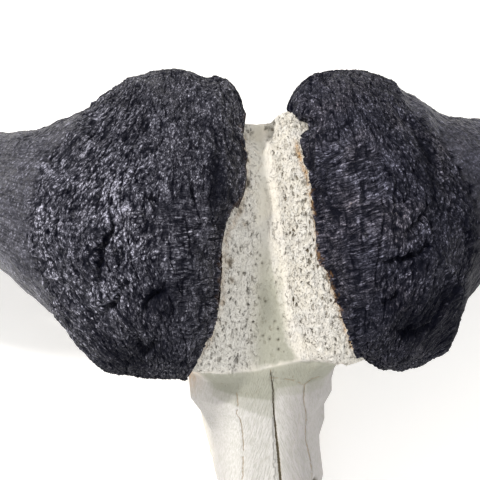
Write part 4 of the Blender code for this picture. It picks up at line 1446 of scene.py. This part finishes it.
@dataclass
class HornSheath:
    """One horn's dark sheath, from the boss's middle edge to the tip."""

    side: Side
    places: Places
    shape: BossShape
    keratin: KeratinPattern
    folds: tuple[Fold, ...]
    seed: int
    boss_step: float = 1.5
    shaft_step: float = 4.2
    sides: int = 300
    top_share: float = 0.7
    boss_end: float = 285.0
    edge_reach: float = 110.0
    corner_side: float = 208.0
    corner_width: float = 38.0
    edge_rounding: Line = ((0.12, 5.0), (0.38, 4.6), (0.6, 3.8), (0.78, 2.6), (0.91, 1.3))
    tip_rounding: Line = ((0.8, 1.4), (0.45, 2.4), (0.12, 2.9))
    roundness: float = 2.25
    wave_reach: float = 30.0

    def rows(self) -> Array:
        """Gives the ribs what sets this boss apart from the other.

        Returns:
            The ribs.
        """
        rows, shape = np.array(HORN_RIBS), self.shape
        near = np.clip((self.edge_reach - rows[:, SIDE]) / (self.edge_reach - rows[0, SIDE]), 0.0, 1.0)
        beside = (rows[:, SIDE] - self.corner_side) / self.corner_width
        corner = shape.corner_growth * np.exp(-(beside**2))
        rows[:, SIDE] += shape.edge_shift * near
        rows[:, SLANT] += shape.edge_slant * near
        rows[:, BACK] -= corner / 2
        rows[:, HALF] += corner / 2
        return rows

    def fine_rows(self) -> Array:
        """Reads the ribs closely, more so on the boss, and rounds the middle edge and the tip.

        Returns:
            The close ribs.
        """
        rows = self.rows()
        coarse = np.linspace(0, len(rows) - 1, 2000)
        path = rows_at(rows, coarse)[:, :3]
        length = np.concatenate([[0.0], np.cumsum(np.linalg.norm(np.diff(path, axis=0), axis=1))])
        on_boss = np.arange(len(path)) < np.argmax(path[:, 0] > self.boss_end)
        pitch = np.where(on_boss, self.boss_step, self.shaft_step) * 1.0
        count = np.concatenate([[0.0], np.cumsum(np.diff(length) / pitch[1:])])
        wanted = np.linspace(0.0, count[-1], int(count[-1]) + 1)
        made = rows_at(rows, np.interp(wanted, count, coarse))
        back, front = (curve(made[:, SIDE], self.shape.outline, column) for column in (1, 2))
        made[:, BACK] += (back + front) / 2
        made[:, HALF] += (back - front) / 2
        edge = []
        for share, reach in self.edge_rounding:
            ring = made[0].copy()
            ring[SIDE] -= reach
            ring[HALF] -= reach
            ring[[ABOVE, BELOW]] *= share
            edge.append(ring)
        tip = []
        way = unit(made[-1, :3] - made[-2, :3])
        for share, reach in self.tip_rounding:
            ring = made[-1].copy()
            ring[:3] += way * reach
            ring[[HALF, ABOVE, BELOW]] *= share
            tip.append(ring)
        return np.vstack([edge, made, tip])

    def turns(self) -> Array:
        """Spreads angles round a rib, closer together on the side that shows.

        Returns:
            The angles.
        """
        sides = self.sides // 1
        upper = int(sides * self.top_share)
        top = np.linspace(0.0, math.pi, upper, endpoint=False)
        under = np.linspace(math.pi, 2 * math.pi, sides - upper, endpoint=False)
        return np.concatenate([top, under])

    def knobs(self, points: Array) -> Array:
        """Works out the broad lumps and soft rings that the CAD sheath has as well.

        Args:
            points: The form's points, in crown millimetres.

        Returns:
            How far they stand out, in millimetres.
        """
        x, y, phase = points[..., 0], points[..., 1], self.shape.knob_phase
        on_boss = np.clip((290.0 - x) / 90.0, 0.0, 1.0)
        broad = np.sin(x * 0.071 + phase) * np.sin(y * 0.058 + 0.6 + phase)
        slanting = 0.6 * np.sin(x * 0.113 - y * 0.097 + 2.1 * phase)
        rise = np.clip((x - 190.0) / 70.0, 0.0, 1.0) * np.clip((330.0 - x) / 70.0, 0.0, 1.0)
        rings = np.sin(x * 0.26 + 0.4 * np.sin(y * 0.05)) * rise
        return 2.6 * on_boss * (broad + slanting) + 0.6 * rings

    def form(self, rows: Array, turns: Array) -> Array:
        """The smooth form of the horn.

        Args:
            rows: The ribs.
            turns: The angles round them.

        Returns:
            Points by rib and angle, in crown millimetres with x always positive.
        """
        path = rows[:, :3]
        turn = np.clip((rows[:, SIDE] - 200.0) / 130.0, 0.0, 1.0)[:, None]
        way = unit(np.gradient(path, axis=0))
        along = unit(np.array([1.0, 0.0, 0.0]) * (1 - turn) + way * turn)
        length = np.stack([rows[:, SLANT], np.ones(len(rows)), np.zeros(len(rows))], axis=1)
        length = unit(length - along * (length * along).sum(1, keepdims=True) * turn)
        flat = np.stack([length[:, 1], -length[:, 0], np.zeros(len(rows))], axis=1)
        out = unit(np.cross(np.where(turn > 0, along, flat), length))
        power = 2 / self.roundness
        a = np.copysign(np.abs(np.cos(turns)) ** power, np.cos(turns))[None, :]
        b = np.copysign(np.abs(np.sin(turns)) ** power, np.sin(turns))[None, :]
        half, above, below, bend, drop = (rows[:, k][:, None] for k in (HALF, ABOVE, BELOW, BEND, DROP))
        thick = np.where(b > 0, above, below * (1.0 + 0.3 * a * np.minimum(1.0, bend / 30.0)))
        up = thick * b - bend * a * a - drop * a
        points = path[:, None] + length[:, None] * (half * a)[..., None] + out[:, None] * up[..., None]
        away = unit(length[:, None] * (a * above)[..., None] + out[:, None] * (b * half)[..., None])
        solid = np.minimum(1.0, above / 40.0)
        points = points + away * (self.knobs(points) * solid)[..., None]
        wave = curve(points[..., 1], self.shape.edge_wave)
        from_edge = np.clip(rows[:, SIDE] - rows[0, SIDE], 0, None)
        points[..., 0] -= wave * np.exp(-from_edge / self.wave_reach)[:, None]
        return points

    def masks(self, points: Array, rows: Array, turns: Array) -> dict[str, Array]:
        """What the relief and the finish read from the mesh.

        Args:
            points: The form's points.
            rows: The ribs.
            turns: The angles round them.

        Returns:
            Values by name, for each point.
        """
        x, u = points[..., 0], points[..., 1]
        steps = np.linalg.norm(np.diff(rows[:, :3], axis=0), axis=1)
        along = np.concatenate([[0.0], np.cumsum(steps)])[:, None] * np.ones_like(x)
        top = np.sin(turns)[None, :] * np.ones_like(x)
        torn = ragged(x, u, 1.3)
        fold = sum(fold.height(*torn) for fold in self.folds) * ease(top, -0.25, 0.15)
        wide = ragged(x, u, 3.0)
        band = self.keratin.bands(wide[0], np.clip(wide[1], -45.0, 140.0), ease(x, 60.0, 180.0))
        crust = 1.0 - ease(band, self.shape.crust_end - 3.0, self.shape.crust_end + 3.0)
        fold += self.shape.crust_step * (crust - 0.5) * (1 - ease(x, 240, 290)) * ease(x, 120, 160)
        return {
            "crown": points,
            "grain": np.stack([along, 45 * np.cos(turns) + 0 * x, 45 * np.sin(turns) + 0 * x], axis=-1),
            "fold": fold,
            "rough": 0.05 + 0.95 * np.maximum(crust, 0.40 * (1 - ease(x, 225.0, 300.0))),
            "inner": 1.0 - ease(wide[0] - 0.10 * u, 88.0, 124.0),
            "edge": 1.0 - ease(along + torn[0] - x, 1.5, 4.0),
            # painted shade where the horn turns away from view
            "turned": 1.0 - ease(top, 0.0, 0.5),
            # spots of painted shade
            "shaded": np.minimum(shares(self.shape.shaded, x, u), 1.0),
            # spots of painted highlight
            "shine": np.minimum(shares(self.shape.shiny, x, u), 1.0),
        }

    def relief(self) -> GeometryTree:
        """Grows the sheath's surface: crusted boss, barred inner strip and ringed shaft.

        Returns:
            The tree that does it.
        """
        inputs = {
            "Seed": self.seed,
            "Relief": 1.0,
            "Crack depth": 1.9,
            "Lump height": 1.5,
            "Ring height": 0.5,
            "Crumbs": 14000.0,
            "Crumb size": 1.25 * MM,
        }
        t = GeometryTree(f"keratin_{self.side.word}", inputs)
        crown, grain = t.stored("crown", "FLOAT_VECTOR"), t.stored("grain", "FLOAT_VECTOR")
        rough, inner = t.stored("rough"), t.stored("inner")
        grown = self.keratin.surface(t, crown, rough, inner)
        lumps = t.swing((crown + t.given("Seed") * 7.0) / 21.0, 3.0, 0.55) * (rough * (1.0 - inner * 0.6))
        rings = t.swing(grain / (9.0, 90.0, 90.0), 1.0) + t.swing(grain / (26.0, 7.0, 7.0), 2.0) * 0.45
        height = t.stored("fold") + grown.relief * t.given("Relief") - grown.crease * t.given("Crack depth")
        height = height + lumps * t.given("Lump height") + rings * (1.0 - rough) * t.given("Ring height")
        shape = t.raise_surface(t.given("Geometry"), height)
        share = rough * (1.0 - inner) * t.patches(crown / 16.0, 0.42, 0.6)
        crumbs = t.scatter(shape, share, t.given("Crumbs"), t.given("Crumb size"), 0.5, t.given("Seed"))
        t.finish(t.gather(shape, crumbs))
        return t

    def build(self, finish: bpy.types.Material) -> bpy.types.Object:
        """Builds and dresses the sheath.

        Args:
            finish: The horn's material.

        Returns:
            The piece.
        """
        rows, turns = self.fine_rows(), self.turns()
        points = self.form(rows, turns)
        mesh = ring_mesh(f"horn_{self.side.word}", self.places.crown(points * (self.side.value, 1.0, 1.0)))
        for name, values in self.masks(points, rows, turns).items():
            keep_value(mesh, name, with_ends(values))
        made = new_object(mesh.name, mesh)
        self.relief().run(made, {"Finish": finish})
        made.data.shade_smooth()
        return made


# The bone


CHANNEL_HOLES = tuple(
    Spot(x, u, 1.2, 1.35, 2.0)
    for x, u in (
        (7, -102), (-27, -32), (-5, -62), (-27, -86), (-19, -82), (7, -112), (-24, -64), (7, -91), (-37, -88),
        (-14, -24), (-25, -79), (-9, -15), (-2, -101), (-7, -23), (-9, -97), (4, -83), (-12, -58),
    )
)
EDGE_PITS = (
    Spot(-13, 108, 2.6, 7.0, 3.0),
    Spot(-18, 58, 3.0, 8.0, 3.2),
    Spot(-29, 33, 3.6, 5.0, 3.2),
    Spot(-22, 17, 2.8, 3.2, 2.6),
    Spot(-42, -20, 3.6, 5.5, 3.6),
    Spot(-41, -37, 2.6, 3.0, 2.4),
    Spot(-16, 84, 2.2, 4.0, 2.4),
)
FACE_HOLES = (Spot(-38, -263, 4.5, 6.0, 4.0), Spot(47, -265, 7.0, 8.0, 5.5))
CHEEK_STAIN = Spot(-81, -146, 9, 12)
# Where each boss meets the bone: the distance back and the side
LEFT_BOSS_EDGE = (
    (-130, -85), (-101, -66), (-58, -50), (-28, -51), (2, -44), (31, -28), (61, -19), (106, -18), (151, -29),
)
RIGHT_BOSS_EDGE = (
    (-125, 90), (-110, 79), (-79, 69), (-48, 60), (-33, 58), (-17, 48), (28, 47), (43, 43), (59, 43),
    (74, 38), (104, 33), (119, 34), (134, 27), (149, 32),
)
# How far the face's sides move to the viewer's right: the distance back, on the left and on the right
FACE_SIDES = (
    (-340, 0, 0), (-270, 1, 7), (-260, 1, 7), (-248, 3, 5), (-228, 6, 3), (-208, 8, 0), (-196, 7, -4),
    (-187, 6, -6), (-178, 2, -2), (-170, -1, -1), (-158, 4, -5), (-147, 10, -7), (-122, 0, 0), (0, 0, 0),
)
# How far the bone's horizon moves back, by the side
HORIZON = ((-60, 0), (-45, -7), (16, -7), (22, -2), (27, 3.5), (36, 3.5), (48, 0))
# The lower end of the pads, by the side
LIP = (
    (-110, -140), (-85, -138), (-65, -132), (-17, -131), (5, -127), (27, -124), (47, -124), (66, -128),
    (95, -136),
)
# Where the left boss's painted shadow ends on the channel: the right edge of the channel's darker part, by
# the distance back
CHANNEL_SHADOW_EDGE = ((-119, 22), (-103, 13), (-74, 9), (-44, 5), (-5, 0), (40, 2), (113, 6))
# How far forward the left boss's painted shadow greys the slope below the lip, by the side: the strong part
# and the faint part
SHADE_ENDS = (
    (-85, -146, -150), (-75, -148, -154), (-34, -159, -171), (0, -165, -184), (4, -152, -160),
    (60, -148, -158),
)
# The inner edge of the right pad, by the distance back
RIGHT_PAD_EDGE = (
    (-130, 30), (-111, 21), (-91, 16), (-61, 14), (-26, 13), (-1, 10), (42, 8), (90, 6), (150, 5),
)


@dataclass
class SkullBone:
    """The bone of the skull, with its pads, sutures and pits."""

    places: Places
    pattern: BonePattern
    sutures: Sutures
    voxel: float = 3.4
    relax_rounds: int = 26
    most_triangles: int = 192000
    horizon_drop: float = 4.0
    weld: float = 1e-6
    nose_floor: float = 46.0
    nose_roof: float = 150.0
    nose_front: float = -95.0

    def base(self) -> bpy.types.Object:
        """Makes the CAD bone a fine even skin, with its facets smoothed away.

        Returns:
            The skin's object.
        """
        made = new_object("skull_bone", cad_mesh("skull"))
        work = bmesh.new()
        work.from_mesh(made.data)
        bmesh.ops.remove_doubles(work, verts=work.verts, dist=self.weld)
        work.to_mesh(made.data)
        work.free()
        skin = made.modifiers.new("skin", "REMESH")
        skin.mode, skin.voxel_size = "VOXEL", self.voxel * MM
        make_plain(made)
        relax(made.data, self.relax_rounds)
        finer = made.modifiers.new("finer", "SUBSURF")
        finer.levels = finer.render_levels = 1
        make_plain(made)
        crown = self.places.to_crown(positions(made.data))
        x, u, w = crown.T
        off = np.abs(x)
        drop = self.horizon_drop * ease(u, 95.0, 160.0) * (1 - ease(off, 50.0, 80.0)) * ease(w, -80.0, -40.0)
        moved = curve(x, HORIZON) * between(u, 80.0, 122.0, 150.0, 190.0) * ease(w, -150.0, -95.0)
        across = np.where(x < 0, curve(u, FACE_SIDES, 1), curve(u, FACE_SIDES, 2))
        crown[:, 0] += across * ease(off, 30.0, 55.0) * ease(w, -170.0, -130.0)
        crown[:, 1] += moved
        crown[:, 2] -= drop
        place_vertices(made.data, self.places.crown(crown))
        return made

    def masks(self, mesh: bpy.types.Mesh) -> dict[str, Array]:
        """What the relief and the finish read from the mesh.

        Args:
            mesh: The bone's skin.

        Returns:
            Values by name, for each vertex.
        """
        crown = self.places.to_crown(positions(mesh))
        x, u, w = crown.T
        sx, su = ragged(x, u, 0.9)
        on_crown = ease(w + 70.0 * ease(u, 80.0, 115.0), -75.0, -55.0) * (1.0 - ease(np.abs(x), 120.0, 150.0))
        lip = curve(sx, LIP)
        soft = 2.5 + 5.0 * ease(-x, 0.0, 20.0)
        pads = on_crown * np.clip((su - lip) / (2 * soft) + 0.5, 0.0, 1.0) * (1.0 - ease(u, 150.0, 176.0))
        step = curve(u, RIGHT_PAD_EDGE)
        right = ease(x, step - 4.0, step + 3.0)
        grainy = ease(sx - step - 11.0 * ease(-u, 65.0, 120.0), 2.0, 8.0)
        left = ease(-x + 0.06 * u, 1.0, 24.0)
        upper = ease(w, -165.0, -135.0)
        # Painted shadow of the left boss on the slope below the lip
        shade = 1.0 - 0.5 * ease(curve(x, SHADE_ENDS, 1) - u, -1.0, 2.0)
        shade -= 0.5 * ease(curve(x, SHADE_ENDS, 2) - u, -1.0, 3.0)
        slope_shadow = on_crown * ease(lip - u, 0.0, 4.0) * shade
        # Painted shade on the face's right side and on its far left flank
        dull = ease(lip - u, -2.0, 6.0) * upper
        dull *= np.maximum(0.9 * ease(x, -2.0, 26.0), 0.45 * ease(-x, 40.0, 54.0))
        channel = pads * (1.0 - np.maximum(right, 0.9 * left))
        # Past the painted shadow's edge the channel is left lighter
        beyond = ease(x - curve(u, CHANNEL_SHADOW_EDGE), -1.0, 1.5)
        beyond *= 1.0 - ease(u, 78.0, 98.0)
        channel *= 1.0 - beyond * (0.3 + 0.45 * ease(u, -60.0, -10.0))
        return {
            "crown": crown,
            "porous": pads * np.maximum(np.maximum(right * grainy, left), 0.10 + 0.25 * beyond),
            "channel": np.maximum(channel * (0.35 + 0.65 * ease(-u, -20.0, 60.0)), 0.95 * slope_shadow),
            "face": ease(lip - u, 0.0, 12.0) * upper,
            "dull": dull,
            "right": right * pads * (1.0 - 0.7 * ease(u, 70.0, 125.0)),
            "left": left * pads,
            "dents": (
                dents(CHANNEL_HOLES + EDGE_PITS, x, u) * ease(w, -75, -50)
                + dents(FACE_HOLES, x, u) * ease(w, -150, -110)
            ),
        }

    def relief(self) -> GeometryTree:
        """Grows the bone's own surface: spongy pads, dents, open sutures and a soft unevenness.

        Returns:
            The tree that does it.
        """
        inputs = {
            "Pad step": 4.2,
            "Left pad step": 1.6,
            "Suture depth": 1.7,
            "Sponge": 1.0,
            "Unevenness": 0.45,
        }
        t = GeometryTree("bone_relief", inputs)
        crown, porous, face = t.stored("crown", "FLOAT_VECTOR"), t.stored("porous"), t.stored("face")
        sponge, _ = self.pattern.surface(t, crown)
        seam = self.sutures.surface(t, crown, 0.5) * t.ease(face, 0.05, 0.35)
        height = sponge * porous * t.given("Sponge") + t.stored("right") * t.given("Pad step")
        height = height + t.stored("left") * t.given("Left pad step")
        height = height - seam * t.given("Suture depth") - t.stored("dents")
        height = height + t.swing(crown / 24.0, 3.0) * t.given("Unevenness")
        t.finish(t.raise_surface(t.given("Geometry"), height))
        return t

    def colour_values(self, mesh: bpy.types.Mesh) -> None:
        """Stores the stains, the painted shade in holes, pits and the nose, and the grain that only the
        finish reads.

        Args:
            mesh: The bone's finished mesh.
        """
        points = positions(mesh)
        x, u, w = self.places.to_crown(points).T
        station = (points[:, 1] - self.places.middle_y) / MM + self.places.half_length
        height = points[:, 2] / MM
        stain = 0.5 * CHEEK_STAIN.share(x, u)
        torn = ragged(x, u, 1.6)
        pits = shares(EDGE_PITS, *torn)
        rims = np.zeros(len(x))
        for line, reach, share in ((RIGHT_BOSS_EDGE, 2.6, 0.9), (LEFT_BOSS_EDGE, 4.0, 0.3)):
            rims += share * np.exp(-(((x - curve(u, line)) / reach) ** 2))
        rims *= between(u, -128.0, -110.0, 94.0, 106.0) * ease(w, -60.0, -40.0)
        keep_value(mesh, "amber", np.maximum(np.maximum(stain, rims), pits * 0.4))
        # Painted shade in the holes and pits, and inside the nose's opening
        holes = shares(CHANNEL_HOLES, x, u) + 0.75 * ease(pits, 0.35, 0.9)
        holes *= ease(w, -75, -50)
        holes += 0.85 * ease(shares(FACE_HOLES, *torn), 0.3, 0.8) * ease(w, -150, -110)
        across = np.abs(x)
        nose = between(station, 95.0, 150.0, 250.0, 300.0) * (1 - ease(across, 30.0, 36.0))
        inside = (height > self.nose_floor) & (height < self.nose_roof) & (w < self.nose_front)
        keep_value(mesh, "cavity", np.maximum(nose * inside * 0.8, np.minimum(holes, 1.0)))
        feather = np.stack([(across * 0.94 + u * 0.34), (u * 0.94 - across * 0.34) * 0.10, w * 0.5], axis=1)
        feather[:, 0] += 200.0 * (x > 0)
        keep_value(mesh, "feather", feather)

    def thin_out(self, made: bpy.types.Object) -> None:
        """Thins the skin where it doesn't face the viewer, and inside the horns.

        Args:
            made: The bone's object.
        """
        crown = self.places.to_crown(positions(made.data))
        x, u, w = np.abs(crown[:, 0]), crown[:, 1], crown[:, 2]
        shown = ease(w, -100.0, -70.0) * (1 - ease(x, 95.0, 125.0)) * (1 - ease(u, 165.0, 185.0))
        group = made.vertex_groups.new(name="plain")
        levels = np.round(1.0 - shown, 1)
        for level in np.unique(levels[levels > 0]):
            group.add(np.flatnonzero(levels == level).tolist(), float(level), "REPLACE")
        count = triangles(made.data)
        LOG.info("bone skin: %d triangles, %d of them in view", count, int((levels < 0.5).mean() * count))
        if count > self.most_triangles:
            thin = made.modifiers.new("thin", "DECIMATE")
            thin.ratio, thin.vertex_group = self.most_triangles / count, group.name
            make_plain(made)

    def build(self, finish: bpy.types.Material) -> bpy.types.Object:
        """Builds and dresses the bone.

        Args:
            finish: The bone's material.

        Returns:
            The piece.
        """
        made = self.base()
        for name, values in self.masks(made.data).items():
            keep_value(made.data, name, values)
        self.relief().run(made, {"Finish": finish})
        self.thin_out(made)
        self.colour_values(made.data)
        made.data.shade_smooth()
        return made


# The teeth


@dataclass(frozen=True)
class ToothSize:
    """One cheek tooth, by the middle of its crown."""

    station: float
    length: float
    width: float
    side: float
    lobes: int


TEETH = {
    "premolar_2": ToothSize(158.0, 16.0, 15.0, 42.0, 1),
    "premolar_3": ToothSize(176.0, 18.0, 17.5, 45.5, 1),
    "premolar_4": ToothSize(195.0, 18.5, 19.5, 48.5, 1),
    "molar_1": ToothSize(218.0, 25.0, 22.0, 50.5, 2),
    "molar_2": ToothSize(246.0, 29.0, 23.5, 52.0, 2),
    "molar_3": ToothSize(277.5, 31.5, 22.5, 52.0, 2),
}


@dataclass
class CheekTeeth:
    """The twelve upper cheek teeth, with ribbed walls and crescent hollows on their chewing faces."""

    places: Places
    points: int = 72
    face_rings: int = 12
    levels: Line = (
        (0.0, 0.955), (1.2, 0.985), (4.0, 1.0), (8.0, 1.0), (12.0, 1.0), (16.0, 1.0), (19.0, 1.0),
        (23.5, 0.84), (40.0, 0.76),
    )
    face_share: float = 0.95
    rim: float = 0.35

    def outline(self, size: ToothSize, sign: float) -> Array:
        """The tooth's outline: round lobes, with ribs on the cheek side.

        Args:
            size: The tooth.
            sign: Which way the cheek lies.

        Returns:
            Points of (across, along) about the middle.
        """
        turn = np.linspace(0, 2 * np.pi, self.points, endpoint=False)
        c, s = np.cos(turn), np.sin(turn)
        along = np.copysign(np.abs(c) ** 0.72, c) * size.length / 2
        across = np.copysign(np.abs(s) ** 0.72, s) * size.width / 2
        across *= 1.0 - (0.14 * np.exp(-((along / (0.13 * size.length)) ** 2)) if size.lobes == 2 else 0.0)
        waves = np.cos(along / size.length * 2 * np.pi * (2 * size.lobes)) * np.clip(s * sign, 0, 1)
        across -= 0.028 * size.width * np.sign(across) * (1 - waves) * np.clip(np.abs(s) * 2, 0, 1)
        return np.stack([across, along], axis=1)

    def chewing_depth(self, size: ToothSize, across: Array, along: Array) -> tuple[Array, Array]:
        """Works out the chewing face: a crescent hollow in each lobe, with standing enamel round it.

        Args:
            size: The tooth.
            across: The points' distances from its middle line.
            along: The points' distances from its middle.

        Returns:
            How deep the points lie, and how dark they are.
        """
        depth, dark = np.zeros_like(across), np.zeros_like(across)
        pitch = size.length / size.lobes
        for lobe in range(size.lobes):
            middle = (lobe + 0.5) * pitch - size.length / 2
            a, b = (along - middle) / (pitch * 0.34), across / (size.width * 0.30)
            arc = b - 0.35 + 0.55 * a * a
            ring = np.hypot(arc / 0.55, a * 0.7)
            hollow = np.exp(-((arc / 0.30) ** 2)) * (1 - ease(np.abs(a), 0.75, 1.05))
            depth += 2.2 * hollow - self.rim * np.exp(-(((ring - 0.95) / 0.18) ** 2))
            dark = np.maximum(dark, ease(hollow, 0.35, 0.8))
        return depth, dark

    def one(self, name: str, size: ToothSize, side: Side) -> bpy.types.Mesh:
        """Makes one tooth.

        Args:
            name: The mesh's name.
            size: The tooth.
            side: Which side it is on.

        Returns:
            The mesh.
        """
        outline = self.outline(size, side.value)
        rings, dark = [], []
        for ring in range(self.face_rings):
            share = (ring + 1) / (self.face_rings + 1)
            across, along = (outline * share * self.face_share).T
            depth, hollow = self.chewing_depth(size, across, along)
            rings.append(np.stack([across, along, self.rim + np.maximum(depth, -self.rim)], axis=1))
            dark.append(hollow)
        for height, share in self.levels:
            rings.append(np.column_stack([outline * share, np.full(len(outline), height)]))
            dark.append(np.zeros(len(outline)))
        middle = (side.value * size.side, size.station, 0.0)
        mesh = ring_mesh(name, self.places.skull(np.array(rings) + middle))
        keep_value(mesh, "hollow", with_ends(np.array(dark)))
        mesh.shade_smooth()
        return mesh

    def build(self, finish: bpy.types.Material) -> dict[str, bpy.types.Object]:
        """Builds and dresses every tooth.

        Args:
            finish: The enamel.

        Returns:
            The pieces, by the CAD node that each stands for.
        """
        made = {}
        for side in Side:
            for tooth, size in TEETH.items():
                node = f"{tooth}_{side.word}"
                mesh = self.one(f"{node}_enamel", size, side)
                mesh.materials.append(finish)
                made[node] = new_object(mesh.name, mesh)
        return made


# The studio


@dataclass
class Studio:
    """The floor, the soft lights and the camera at the photograph's angle."""

    places: Places
    distance: float = 1.0
    focal: float = 75.0
    elevation: float = math.radians(70.0)
    swing: float = math.radians(7.5)
    roll: float = math.radians(-2.5)
    centre_px: float = 270.0
    picture: float = 480.0
    key_way: tuple = (-0.69, 0.44, 0.66)
    key_distance: float = 3.0
    key_size: float = 0.22
    key_watts: float = 62.0
    key_colour: tuple = (1.0, 0.965, 0.92)
    fill_way: tuple = (1.4, -1.2, 1.6)
    fill_size: float = 1.6
    fill_watts: float = 6.0
    fill_colour: tuple = (0.93, 0.96, 1.0)
    sensor: float = 36.0
    sky: tuple = (1.0, 0.975, 0.94, 1.0)
    sky_strength: float = 0.84
    floor_half: float = 6.0

    def axes(self) -> tuple[Vector, Vector, Vector]:
        """Works out how the camera is turned.

        Returns:
            Its right, up and back, in the row frame.
        """
        out = Vector((0.0, -math.cos(self.elevation), math.sin(self.elevation)))
        upward = Vector((0.0, math.sin(self.elevation), math.cos(self.elevation)))
        back = out * math.cos(self.swing) - Vector((1.0, 0.0, 0.0)) * math.sin(self.swing)
        right = upward.cross(back)
        up = back.cross(right)
        rolled = right * math.cos(self.roll) + up * math.sin(self.roll)
        return rolled, up * math.cos(self.roll) - right * math.sin(self.roll), back

    def camera(self, aim: Vector) -> None:
        """Places the camera over the crown, as in the photograph.

        Args:
            aim: The middle of the crown.
        """
        right, up, back = self.axes()
        data = bpy.data.cameras.new("camera")
        data.lens, data.sensor_width = self.focal, self.sensor
        data.shift_x = -(self.centre_px - self.picture / 2) / self.picture
        data.clip_start, data.clip_end = 0.05, 30.0
        made = new_object("camera", data)
        turned = Matrix((right, up, back)).transposed()
        made.matrix_world = Matrix.Translation(aim + back * self.distance) @ turned.to_4x4()
        bpy.context.scene.camera = made

    def light(self, name: str, place: Vector, aim: Vector, size: float, watts: float, colour: tuple) -> None:
        """Hangs one soft light.

        Args:
            name: Its name.
            place: Where it hangs.
            aim: What it points at.
            size: How wide it is.
            watts: How bright it is.
            colour: Its colour.
        """
        data = bpy.data.lights.new(name, "AREA")
        data.shape, data.size, data.energy, data.color = "DISK", size, watts, colour
        made = new_object(name, data)
        made.location = place
        made.rotation_euler = (aim - place).to_track_quat("-Z", "Y").to_euler()

    def build(self, finish: bpy.types.Material) -> None:
        """Builds the floor, the lights and the camera.

        Args:
            finish: The floor's material.
        """
        mesh, far = bpy.data.meshes.new("floor"), self.floor_half
        mesh.from_pydata([(-far, -far, 0), (far, -far, 0), (far, far, 0), (-far, far, 0)], [], [(0, 1, 2, 3)])
        mesh.materials.append(finish)
        new_object("floor", mesh)
        world = bpy.data.worlds.new("studio")
        world.use_nodes = True
        sky = world.node_tree.nodes["Background"].inputs
        sky["Color"].default_value, sky["Strength"].default_value = self.sky, self.sky_strength
        bpy.context.scene.world = world
        bpy.context.scene.view_settings.view_transform = "Standard"
        aim = Vector(self.places.crown(np.zeros(3)))
        key = sum((axis * share for axis, share in zip(self.axes(), self.key_way)), Vector()).normalized()
        hung = aim + key * self.key_distance
        self.light("key", hung, aim, self.key_size, self.key_watts, self.key_colour)
        hung = aim + Vector(self.fill_way)
        self.light("fill", hung, aim, self.fill_size, self.fill_watts, self.fill_colour)
        self.camera(aim)


def dress(piece: bpy.types.Object, node: str) -> None:
    """Hides the CAD node that a finished piece stands for, hangs the piece on the root body, and reports it.

    Args:
        piece: The piece.
        node: The CAD node that it stands for.
    """
    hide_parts(node)
    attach(piece, "root")
    LOG.info("%s: %d triangles", piece.name, triangles(piece.data))


def main() -> None:
    """Builds the pieces in order, from the bone outwards, and then the studio."""
    logging.basicConfig(level=logging.INFO, format="%(message)s")
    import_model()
    places = Places.from_frame()
    effects = SharedEffects()
    sponge, sutures = BonePattern(), Sutures()
    bone = SkullBone(places, sponge, sutures).build(BoneFinish(sponge, sutures).build(effects))
    dress(bone, "skull")
    sheaths = (
        HornSheath(Side.LEFT, places, LEFT_BOSS, LEFT_KERATIN, LEFT_FOLDS, seed=11),
        HornSheath(Side.RIGHT, places, RIGHT_BOSS, RIGHT_KERATIN, RIGHT_FOLDS, seed=23),
    )
    for sheath, finish in zip(sheaths, (LEFT_HORN, RIGHT_HORN)):
        piece = sheath.build(finish.build(f"horn_{sheath.side.word}", effects))
        dress(piece, f"horn_sheath_{sheath.side.word}")
    for node, piece in CheekTeeth(places).build(ToothFinish().build(effects)).items():
        dress(piece, node)
    Studio(places).build(FloorFinish().build(effects))


if __name__ == "__main__":
    main()
